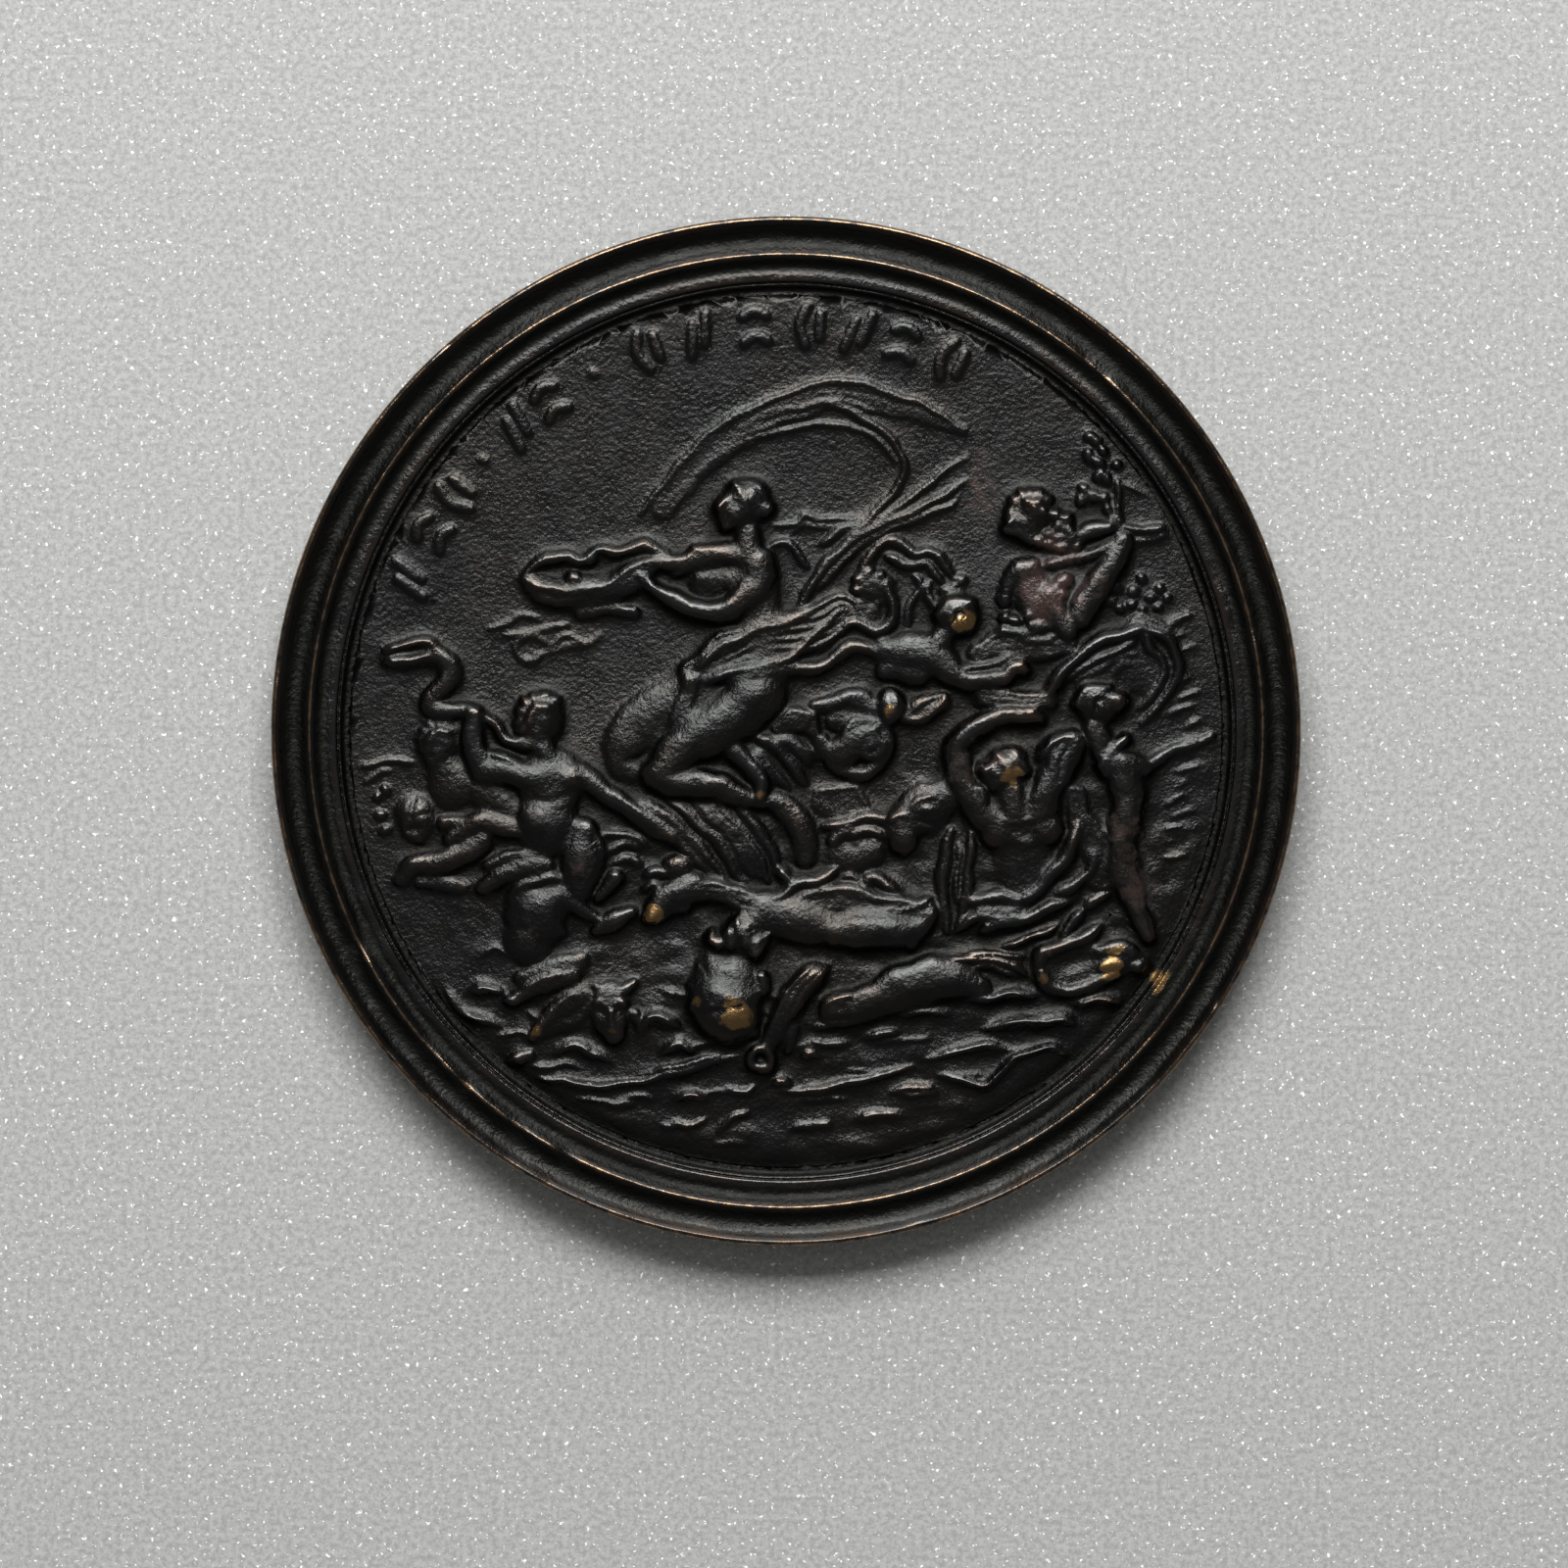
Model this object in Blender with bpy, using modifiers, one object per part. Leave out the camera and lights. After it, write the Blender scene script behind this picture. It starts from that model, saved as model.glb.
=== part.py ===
"""Cast bronze medal: a turned disc with a sea triumph in high relief on its front.

Metres, +Z up. The medal lies on its back, the relief faces up and its upright runs along +Y.
The origin is the centre of the flat ring that it lies on.
"""

import math

import bmesh
import bpy
import numpy as np

# Turned form
MEDAL_DIAMETER = 0.087
RIM_HEIGHT = 0.0048
FIELD_HEIGHT = 0.0029
LIP_WIDTH = 0.0004
OUTER_COVE_WIDTH = 0.0026
OUTER_COVE_DEPTH = 0.0008
RIDGE_WIDTH = 0.0004
RIDGE_HEIGHT = 0.0045
INNER_COVE_WIDTH = 0.0010
INNER_COVE_DEPTH = 0.0005
BAND_WIDTH = 0.0011
BAND_HEIGHT = 0.0038
STEP_WIDTH = 0.0005
LIP_ROUNDING = 0.0002
EDGE_BEVEL = 0.0004
BACK_RING_WIDTH = 0.0050
BACK_RECESS = 0.0008
BACK_STEP_SWELL = 0.00012
TURN_STEPS = 90

# Relief
RELIEF_HEIGHT = 0.0032
RELIEF_STEPS = 150
RELIEF_KEPT_SHARE = 0.117
SUNK_SHARE = 0.15
ROOT_DEPTH = 0.0004
FIELD_MARGIN = 0.0002
EDGE_FADE_SHARE = 0.01

# The relief is drawn in units of which the field's radius holds 37.5, and a height of 3.6 units is
# the top of the highest head. Both are scaled to the sizes above. Where nothing stands, the drawn
# sheet lies under the field by SUNK_SHARE of the relief's height, so each form's foot cuts the field.
# The sheet's body goes ROOT_DEPTH further down, and its rim stays FIELD_MARGIN inside the field's edge.
DRAWN_RADIUS = 37.5
DRAWN_HEIGHT = 3.6

MEDAL_RADIUS = MEDAL_DIAMETER / 2
RIM_WIDTH = LIP_WIDTH + OUTER_COVE_WIDTH + RIDGE_WIDTH + INNER_COVE_WIDTH + BAND_WIDTH + STEP_WIDTH
FIELD_RADIUS = MEDAL_RADIUS - RIM_WIDTH

BRONZE_COLOUR = (0.035, 0.031, 0.028, 1.0)
BRONZE_ROUGHNESS = 0.38


def clear_scene():
    for thing in list(bpy.data.objects):
        bpy.data.objects.remove(thing, do_unlink=True)


def new_collection(name):
    group = bpy.data.collections.new(name)
    bpy.context.scene.collection.children.link(group)
    return group


def bronze():
    material = bpy.data.materials.new("patinated_bronze")
    material.use_nodes = True
    shader = material.node_tree.nodes["Principled BSDF"]
    shader.inputs["Base Color"].default_value = BRONZE_COLOUR
    shader.inputs["Roughness"].default_value = BRONZE_ROUGHNESS
    shader.inputs["Metallic"].default_value = 1.0
    return material


def hollow(start, end, depth, count=4):
    """Points of a cove between two profile points, its middle sunk by depth; start is left out."""
    points = []
    for i in range(1, count + 1):
        share = i / count
        radius = start[0] + (end[0] - start[0]) * share
        height = start[1] + (end[1] - start[1]) * share - depth * 4 * share * (1 - share)
        points.append((radius, height))
    return points


def turned_profile():
    """Half section from the front's middle, over the rim and down its side, to the middle of the back."""
    lip_inner = MEDAL_RADIUS - LIP_WIDTH
    ridge_outer = lip_inner - OUTER_COVE_WIDTH
    ridge_inner = ridge_outer - RIDGE_WIDTH
    band_outer = ridge_inner - INNER_COVE_WIDTH
    band_inner = band_outer - BAND_WIDTH
    ring_outer = MEDAL_RADIUS - EDGE_BEVEL
    ring_inner = ring_outer - BACK_RING_WIDTH
    ridge_top = (0.5 * (ridge_outer + ridge_inner), RIDGE_HEIGHT)

    profile = [(0.0, FIELD_HEIGHT), (FIELD_RADIUS, FIELD_HEIGHT)]
    profile.append((band_inner, BAND_HEIGHT))
    profile.append((band_outer, BAND_HEIGHT))
    profile += hollow((band_outer, BAND_HEIGHT), ridge_top, INNER_COVE_DEPTH, 3)
    profile += hollow(ridge_top, (lip_inner, RIM_HEIGHT), OUTER_COVE_DEPTH)
    profile.append((MEDAL_RADIUS, RIM_HEIGHT - LIP_ROUNDING))
    profile.append((MEDAL_RADIUS, EDGE_BEVEL))
    profile.append((ring_outer, 0.0))
    profile.append((ring_inner, 0.0))
    profile += hollow((ring_inner, 0.0), (ring_inner - BACK_RECESS, BACK_RECESS), -BACK_STEP_SWELL, 2)
    profile.append((0.0, BACK_RECESS))
    return profile


def turned_disc(group, material):
    """The disc with its mouldings, turned about Z from the half section."""
    mesh = bpy.data.meshes.new("medal")
    points = [(radius, 0.0, height) for radius, height in turned_profile()]
    edges = [(i, i + 1) for i in range(len(points) - 1)]
    mesh.from_pydata(points, edges, [])
    disc = bpy.data.objects.new("medal", mesh)
    group.objects.link(disc)
    disc.data.materials.append(material)
    screw = disc.modifiers.new("turned", "SCREW")
    screw.axis = "Z"
    screw.angle = 2 * math.pi
    screw.steps = TURN_STEPS
    screw.render_steps = TURN_STEPS
    screw.use_smooth_shade = True
    screw.use_merge_vertices = True
    screw.merge_threshold = 0.00002
    return disc


def soft_max(low, high, width):
    """The larger of two heights, with the corner between them filled over the given width."""
    gap = np.clip(width - np.abs(low - high), 0.0, None)
    return np.maximum(low, high) + gap * gap / (4 * width)


def spread(values, count):
    """One value for each of count points, from a single number or a shorter run of them."""
    values = np.atleast_1d(values)
    return np.interp(np.linspace(0, 1, count), np.linspace(0, 1, len(values)), values)


def smooth_run(points, values, steps=6):
    """A soft curve through the points, with radius and height eased from each point to the next."""
    points = np.array(points, float)
    values = np.array(values, float)
    line = []
    sizes = []
    last = len(points) - 1
    for i in range(last):
        here, there = points[i], points[i + 1]
        before = points[i - 1] if i > 0 else 2 * here - there
        after = points[i + 2] if i + 2 <= last else 2 * there - here
        for step in range(steps):
            t = step / steps
            bend = 2 * before - 5 * here + 4 * there - after
            twist = 3 * here - before - 3 * there + after
            line.append(0.5 * (2 * here + (there - before) * t + bend * t ** 2 + twist * t ** 3))
            sizes.append(values[i] + (values[i + 1] - values[i]) * t * t * (3 - 2 * t))
    line.append(points[last])
    sizes.append(values[last])
    return np.array(line), np.array(sizes)


class Relief:
    """Heights over the field at a set of drawn places, built up stroke by stroke and figure by figure."""

    EMPTY = -9.0
    REACH = 1.2
    FULLNESS = 0.98
    DROP_SHARE = 0.85
    SIDE_STEEPNESS = 3.0
    FOLD_STEEPNESS = 2.2
    CLOTH_STEEPNESS = 2.6

    def __init__(self, x, y):
        self.x = x
        self.y = y
        self.ground = np.full_like(x, -SUNK_SHARE * DRAWN_HEIGHT)
        self.figure = np.full_like(x, self.EMPTY)

    def close(self, low, high, reach):
        inside = (self.x > low[0] - reach) & (self.x < high[0] + reach)
        inside &= (self.y > low[1] - reach) & (self.y < high[1] + reach)
        return np.nonzero(inside)[0]

    def lay(self, spots, height, blend):
        self.figure[spots] = soft_max(self.figure[spots], height, blend)

    def finish(self, blend=0.12):
        """Sets the figure made so far onto the ground and starts the next one."""
        self.ground = soft_max(self.ground, self.figure, blend)
        self.figure[:] = self.EMPTY

    def follow(self, points, radii, tops, reach):
        """Distance, side, share of the length, radius and top height at the places near a curve."""
        count = len(points)
        radii = spread(radii, count)
        tops = spread(tops, count)
        line, sizes = smooth_run(points, np.stack([radii, tops], axis=1))
        spots = self.close(line.min(axis=0), line.max(axis=0), radii.max() + reach)
        x, y = self.x[spots], self.y[spots]
        best = np.full(x.shape, 1e9)
        side = np.zeros(x.shape)
        share = np.zeros(x.shape)
        radius = np.ones(x.shape)
        top = np.zeros(x.shape)
        for i in range(len(line) - 1):
            run = line[i + 1] - line[i]
            from_x, from_y = x - line[i, 0], y - line[i, 1]
            t = np.clip((from_x * run[0] + from_y * run[1]) / (run @ run + 1e-12), 0, 1)
            away_x = from_x - t * run[0]
            away_y = from_y - t * run[1]
            away = np.hypot(away_x, away_y)
            closer = away < best
            best = np.where(closer, away, best)
            side = np.where(closer, np.sign(run[0] * away_y - run[1] * away_x), side)
            share = np.where(closer, (i + t) / (len(line) - 1), share)
            radius = np.where(closer, sizes[i, 0] + (sizes[i + 1, 0] - sizes[i, 0]) * t, radius)
            top = np.where(closer, sizes[i, 1] + (sizes[i + 1, 1] - sizes[i, 1]) * t, top)
        return spots, best, side, share, radius, top

    def rounding(self, out, size):
        """How far a rounded form of a given size has dropped at a share of its half width."""
        return self.DROP_SHARE * size * (1 - np.sqrt(1 - self.FULLNESS * np.clip(out, 0, 1) ** 2))

    def limb(self, points, radii, tops, blend=0.3):
        """A rounded form along a curve, with steep sides down to the field."""
        spots, away, side, share, radius, top = self.follow(points, radii, tops, self.REACH)
        steep = self.SIDE_STEEPNESS * np.clip(away - radius, 0, None)
        self.lay(spots, top - self.rounding(away / radius, np.minimum(radius, top)) - steep, blend)

    def dome(self, x, y, long, wide, turn, top, blend=0.3):
        """A rounded oval boss."""
        reach = max(long, wide)
        spots = self.close((x - reach, y - reach), (x + reach, y + reach), self.REACH)
        angle = math.radians(turn)
        off_x, off_y = self.x[spots] - x, self.y[spots] - y
        u = (off_x * math.cos(angle) + off_y * math.sin(angle)) / long
        v = (off_y * math.cos(angle) - off_x * math.sin(angle)) / wide
        out = np.hypot(u, v)
        steep = self.SIDE_STEEPNESS * min(long, wide) * np.clip(out - 1, 0, None)
        self.lay(spots, top - self.rounding(out, min(long, wide, top)) - steep, blend)

    def ridge(self, points, width, tops, blend=0.1):
        """A narrow fold or edge that thins out at both ends."""
        spots, away, side, share, radius, top = self.follow(points, width, tops, self.REACH)
        ends = np.clip(np.minimum(share, 1 - share) * 7.0, 0, 1) ** 0.6
        half = radius * (0.28 + 0.22 * ends)
        inner = np.clip(away / half, 0, 1)
        steep = self.FOLD_STEEPNESS * np.clip(away - half, 0, None)
        self.lay(spots, top * (0.72 + 0.28 * ends) - 0.9 * half * inner ** 1.3 - steep, blend)

    def cloth(self, points, width, tops, folds, depth):
        """A band of cloth with folds running along it."""
        spots, away, side, share, radius, top = self.follow(points, width, tops, self.REACH)
        half = 0.5 * radius
        across = 0.5 + 0.5 * np.clip(side * away / half, -1, 1)
        fold = np.abs(np.sin(math.pi * folds * across)) ** 0.8
        self.lay(spots, top - depth * fold - self.CLOTH_STEEPNESS * np.clip(away - half, 0, None), 0.12)

    def crest(self, points, width, tops):
        """A wave: a long slope above its line and a short steep one below."""
        spots, away, side, share, radius, top = self.follow(points, width, tops, self.REACH)
        ends = np.sqrt(np.clip(np.minimum(share, 1 - share) * 4.0, 0.02, 1))
        high = top * (0.35 + 0.65 * ends)
        long_slope = high * np.exp(-(away / (0.75 * radius)) ** 1.3)
        self.lay(spots, np.where(side > 0, long_slope, high - self.CLOTH_STEEPNESS * away), 0.15)

    def head(self, x, y, size, lean, look, top):
        """Crown, face, nose, chin and a roll of hair; look is -1 in left profile and 1 in right profile."""
        angle = math.radians(lean)

        def place(u, v):
            turned_u = u * math.cos(angle) - v * math.sin(angle)
            turned_v = u * math.sin(angle) + v * math.cos(angle)
            return (x + size * turned_u, y + size * turned_v)

        back = -1 if look > 0 else 1
        self.dome(*place(-0.14 * look, 0.22), 0.92 * size, 0.86 * size, lean, top)
        self.dome(*place(0.26 * look, -0.25), 0.65 * size, 0.78 * size, lean, top)
        self.limb([place(0.50 * look, -0.70), place(0.58 * look, -0.74)], 0.22 * size, top - 0.12 * size)
        nose = [place(0.74 * look, 0.14), place(0.84 * look, -0.06), place(0.96 * look, -0.26)]
        self.limb(nose, (0.10 * size, 0.17 * size), (top - 0.08 * size, top + 0.10 * size), 0.1)
        hair = [place(-0.5 * back, 0.62), place(0, 0.92), place(0.6 * back, 0.72), place(0.92 * back, 0.1)]
        self.limb(hair, 0.24 * size, top + 0.02 * size, 0.12)


def sea(relief):
    """The rising water in the lower part, with rows of wave crests."""
    x, y = relief.x, relief.y
    depth = np.clip((-17.5 - y - 0.08 * x) / 9.0, 0, 1)
    edge = np.clip((37.2 - np.hypot(x, y)) / 1.8, 0, 1)
    left = np.clip((x + 29.0 + 0.5 * (y + 20)) / 4.0, 0, 1)
    band = np.clip((-4.0 - y + 0.15 * x) / 4.0, 0, 1) * np.clip((x + 31 + 0.3 * (y + 10)) / 3.0, 0, 1)
    water = (0.6 * depth * left + 0.25 * band) * edge
    relief.ground = np.maximum(relief.ground, water - 0.08)
    for points, width, top in (
        ([(-21, -29.2), (-16, -29.9), (-10, -29.1), (-3.7, -27.2)], 0.6, 1.6),
        ([(-9.8, -31.2), (-8, -30.7), (-6.4, -31.2)], 1.0, 1.7),
        ([(-1, -30.4), (2, -30.5), (4.5, -29.9), (7, -29.4), (11, -28.5)], 0.9, 1.5),
        ([(5.6, -32.9), (7.5, -32.4), (10.2, -32.6)], 1.0, 1.5),
        ([(8.6, -30.7), (10.8, -30.2), (12.8, -30.2)], 0.9, 1.3),
        ([(12.8, -29.2), (16.8, -30.0), (19.6, -27.5), (23.6, -27.3)], 0.9, 1.7),
        ([(11.5, -27.7), (14, -27.3), (16.2, -26.7), (18.8, -26.9)], 0.9, 1.5),
        ([(17, -25.2), (19, -24.7), (21, -24.6), (24.4, -24.8)], 1.0, 1.8),
        ([(15.4, -22.9), (17, -22.5), (19, -22.2), (21.2, -22.4)], 0.9, 1.7),
        ([(24.4, -23.2), (26.3, -22.7), (28.6, -23.2)], 0.9, 1.5),
        ([(9.6, -24.2), (11.6, -23.7), (13.8, -23.9)], 0.9, 1.4),
        ([(-26.8, -22.1), (-25.3, -21.7), (-23.6, -22.2)], 1.0, 1.4),
        ([(-28.8, -22.4), (-27.2, -24.0), (-24.2, -24.9)], 0.9, 1.3),
        ([(-19.8, -27.4), (-18.2, -26.6), (-16.4, -27.1), (-14.8, -28.2)], 1.2, 1.5),
        ([(-12.8, -25.4), (-10.9, -24.1), (-9, -25.2)], 1.1, 1.7),
        ([(12.6, -19.5), (15.4, -19.2), (18.8, -19.6), (20.4, -20.6)], 0.8, 1.6),
        ([(18, -18.1), (20.4, -17.6), (23, -16.3)], 0.8, 1.5),
    ):
        relief.crest(points, width, top)
    relief.finish(0.2)


def scarf(relief):
    """The scarf blown over the goddess's head."""
    outer = [(-11, 18.8), (-7.4, 22.6), (-4.4, 25.3), (-1.6, 26.9), (2, 28.5), (5, 28.8), (10, 27.6),
             (15, 25.3)]
    relief.cloth(outer, (1.6, 2.3, 2.0, 0.6), 1.0, 3, 0.45)
    inner = [(-3.8, 25.4), (0, 26.6), (2.8, 27.0), (6, 26.2), (8.6, 24.6), (9.8, 22.6), (8.4, 19.2),
             (4.0, 15.0), (1.0, 10.6)]
    relief.ridge(inner, 0.9, (0.9, 1.0, 1.0, 1.3))
    relief.cloth([(15, 22.0), (12.6, 20.2), (9.6, 18.4), (6.0, 16.0), (3.4, 13.6), (1.6, 11.2)],
                 (2.2, 1.5, 1.2),
                 (0.7, 1.2, 1.3), 2, 0.4)
    relief.ridge([(-0.6, 17.8), (1.5, 18.3), (5.0, 18.1), (8.6, 20)], 0.7, 0.7)
    relief.finish()


def held_shell(relief):
    """The shell that the goddess holds out, with the pearl in it and a wisp of cloud below."""
    relief.limb([(-21.2, 12.6), (-19, 11.9), (-16, 12.1), (-13.5, 12.8), (-11.0, 14.2)],
                (1.0, 1.4, 1.4, 0.6), (1.5, 1.9, 1.9, 1.5))
    relief.finish()
    relief.ridge([(-22.2, 13.2), (-20.6, 14.5), (-17.2, 14.3), (-16, 15.3), (-12, 15.7), (-10.1, 15.1)],
                 0.7, 1.6)
    relief.ridge([(-22.3, 13.0), (-21, 12.1), (-18.6, 11.9), (-16, 12.1), (-12.4, 14.1), (-10.1, 15.0)],
                 0.8, 2.1)
    relief.limb([(-17.4, 10.0), (-15, 10.3), (-12.8, 10.0)], 0.5, 1.2)
    relief.dome(-18.0, 12.8, 0.8, 0.8, 0, 2.1)
    relief.ridge([(-25.2, 8.8), (-22.4, 9.6), (-18.4, 8.8)], 1.0, 0.5)
    relief.ridge([(-23, 6.2), (-20.6, 6.0), (-18.4, 7.6)], 0.8, 0.5)
    relief.finish()


def goddess(relief):
    """Kneeling nude seen from her left, cloth over the hips, both arms held out to the left."""
    relief.limb([(-7.5, 3.0), (-11, 1.6), (-13.8, -0.6)], (2.2, 2.2, 1.9), (1.5, 1.7, 1.8))
    relief.limb([(-13.8, -0.8), (-14.4, -2.6), (-13.0, -3.6)], (1.8, 1.2, 0.8), (1.7, 1.5, 1.0))
    relief.finish()
    relief.limb([(-3.2, 13.2), (-2.2, 10), (-1.8, 7), (-2.5, 3.5)], (1.9, 1.9, 2.0, 2.3),
                (1.6, 1.5, 1.6, 2.2))
    relief.limb([(-4.4, 15.0), (-6.6, 14.9), (-8.8, 14.2), (-11, 14.3)], (0.9, 0.8, 0.65, 0.5), 1.7)
    relief.limb([(-3.2, 16.6), (-3.0, 14.6)], (0.9, 1.1), 2.1)
    relief.dome(-6.0, 12.9, 1.5, 1.3, 20, 1.9)
    relief.dome(-4.2, 12.6, 1.6, 1.6, 0, 1.9)
    relief.finish()
    relief.cloth([(-7.8, 5.0), (-4.6, 6.8), (-1.4, 7.6), (2, 8.6), (4.8, 10.2)], (1.8, 3.2, 3.6, 3.4, 2.4),
                 (2.1, 2.0, 1.9, 1.7, 1.3), 4, 0.5)
    relief.ridge([(-4.6, 4.2), (0, 5.2), (2.6, 5.3), (5.6, 7.1), (8.4, 6.0)], 1.0, (2.4, 1.8, 1.5))
    relief.ridge([(4.6, 8.3), (6.6, 8.9), (8.7, 9.1), (9.1, 10.4), (7.6, 12.6)], 0.8, 1.5)
    relief.cloth([(-7.8, 4.6), (-8.6, 2.8), (-9.6, 0.4)], 1.6, 2.0, 3, 0.3)
    relief.finish()
    relief.limb([(-2.6, 2.6), (-5.6, 0.6), (-8.6, -1.3), (-10.9, -3.7)], (2.2, 2.1, 1.75, 1.15),
                (2.6, 2.9, 2.9, 2.8))
    relief.limb([(-10.9, -3.9), (-8.6, -4.5), (-6.4, -4.6), (-3.4, -5.7)], (1.1, 1.05, 1.2, 0.7),
                (2.7, 2.6, 2.6, 2.2))
    relief.limb([(-3.4, -5.7), (-1.7, -6.2)], (0.6, 0.4), 1.9)
    relief.limb([(-4.2, -1.9), (-3.0, -3.0), (-2.0, -4.4), (-2.2, -5.6)], (0.85, 0.7, 0.6, 0.45),
                (2.0, 2.2, 2.4))
    relief.finish()
    relief.limb([(-2.2, 14.2), (-2.4, 12.6), (-4.4, 10.6)], (1.25, 1.15, 0.9), (2.5, 2.6, 2.7))
    relief.limb([(-4.6, 10.3), (-6.4, 10.0), (-8.8, 10.7), (-11.4, 12.2), (-12.6, 13.2)],
                (0.85, 0.75, 0.62, 0.5, 0.35), (2.7, 2.6, 2.4, 2.1, 2.0))
    relief.finish()
    relief.head(-3.6, 19.4, 2.15, -12, -0.9, 2.9)
    relief.finish()


def young_triton(relief):
    """Triton at the left, blowing a curled conch."""
    relief.limb([(-26.5, 1.8), (-29.9, 1.9), (-30.1, 3.0), (-28.8, 4.0), (-28.3, 5.2), (-29.6, 6.4),
                 (-33.2, 6.1)],
                (0.5, 0.7, 0.8, 0.9, 0.7), 1.5)
    relief.limb([(-26.2, 1.7), (-24.6, 0.5), (-23.4, -0.9), (-21.2, -1.2)], 0.4, (1.5, 1.9))
    relief.limb([(-17.4, -3.6), (-15.4, -5.2), (-11.8, -7.8), (-9.6, -9.2)], (0.9, 0.5), (1.8, 1.3))
    relief.finish()
    relief.limb([(-20.0, -3.8), (-20.0, -6.0), (-20.2, -8.2)], (2.6, 2.3, 2.5), (2.2, 2.2, 2.4))
    relief.dome(-20.6, -7.6, 1.9, 1.7, 0, 2.7)
    relief.dome(-18.4, -3.9, 1.5, 1.3, 10, 2.4)
    relief.limb([(-26.5, 1.4), (-26.5, -1.0), (-25.7, -3.3), (-23.4, -3.6), (-20.6, -4.0)],
                (0.65, 0.8, 0.85, 1.0, 1.2), (2.2, 2.2, 2.1, 2.3, 2.4))
    relief.limb([(-20.6, -1.2), (-20.0, -2.6)], 0.9, 2.0)
    relief.head(-20.7, 0.7, 1.9, 8, -0.85, 2.5)
    relief.finish()


def swimmers(relief):
    """Heads and limbs of the crowd in the water at the left."""
    relief.head(-29.3, -1.2, 1.7, -5, -0.6, 1.6)
    relief.limb([(-29, -3.0), (-28.2, -4.6)], (1.4, 1.9), (1.0, 1.1))
    relief.limb([(-26, -4.9), (-24.6, -5.8), (-23.6, -6.6)], 1.25, (1.3, 1.0))
    relief.finish()
    relief.head(-31.4, -7.2, 2.0, 4, 0.25, 1.6)
    relief.limb([(-28.4, -9.2), (-26.2, -7.8), (-24.6, -7.9), (-22.4, -8.4)], (0.6, 0.85, 0.8, 0.6), 1.6)
    relief.finish()
    relief.limb([(-32.6, -12.6), (-31.4, -11.4), (-29.4, -11.2), (-25.6, -9.4)], (0.5, 0.8, 0.9, 0.8),
                (1.1, 1.8, 1.5))
    relief.limb([(-31.0, -12.9), (-29.4, -12.8), (-27.4, -13.3)], 0.55, 1.0)
    relief.limb([(-25.6, -13.2), (-22.2, -11.6), (-20.4, -11.4)], (0.6, 0.8, 0.7), (1.5, 1.9))
    relief.finish()
    relief.limb([(-17.0, -8.6), (-17.3, -11.0), (-17.6, -13.4)], (1.1, 1.75, 1.1), (2.2, 2.7, 2.1))
    relief.limb([(-20.4, -14.6), (-21.2, -16.2), (-22.0, -18.0)], (2.2, 2.5, 2.0), (2.6, 2.8, 2.4))
    relief.limb([(-19.4, -14.0), (-17.6, -14.9), (-16.0, -15.9)], (0.7, 0.4), (2.0, 1.4))
    relief.limb([(-15.8, -13.9), (-14.4, -12.5)], (0.4, 0.65), 2.0)
    relief.limb([(-16.0, -17.0), (-14.4, -16.0), (-13.2, -15.4)], (0.4, 0.8, 0.5), 2.0)
    relief.finish()


def sea_beasts(relief):
    """Dolphin snouts and beasts' masks low on the left, and the beast's head right of the middle."""
    relief.limb([(-17.6, -19.6), (-20.4, -20.3), (-22.4, -20.9)], (1.0, 0.5), 1.6)
    relief.limb([(-18.0, -20.6), (-20.6, -21.4), (-23.2, -22.8)], (0.8, 0.6), 2.1)
    relief.limb([(-17.4, -22.4), (-19.4, -23.6), (-20.9, -25.3)], (1.1, 0.5), (1.7, 2.1))
    relief.limb([(-17.4, -24.4), (-20.6, -25.6)], (0.6, 0.4), 1.5)
    relief.limb([(-23.4, -28.2), (-21.8, -27.4)], 0.5, 1.9)
    relief.finish()
    relief.dome(-9.2, -11.5, 1.2, 1.0, 0, 1.9)
    relief.limb([(-7.8, -13.2), (-9.6, -13.9), (-11.4, -15.4)], (1.1, 1.1, 0.7), 2.4)
    relief.limb([(-15.0, -22.6), (-14.9, -24.4), (-14.6, -25.8)], (1.55, 1.35, 0.8), (2.1, 2.4, 2.6))
    relief.limb([(-16.2, -22.0), (-17.0, -21.2)], 0.5, 1.8)
    relief.limb([(-13.6, -22.0), (-12.8, -21.2)], 0.5, 1.8)
    relief.finish()
    relief.limb([(13.4, -5.6), (11.6, -6.6), (9.8, -8.0)], (1.6, 1.9, 1.5), (1.6, 2.1))
    relief.dome(9.9, -9.0, 1.1, 1.5, 10, 2.2)
    relief.dome(11.9, -6.6, 0.6, 0.5, 0, 2.5)
    relief.ridge([(3.0, -8.2), (5.0, -7.8), (8.6, -7.5)], 0.8, 1.6)
    relief.limb([(4.4, -10.4), (5.8, -10.6), (7.4, -10.2)], 1.3, 1.3)
    relief.finish()


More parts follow.
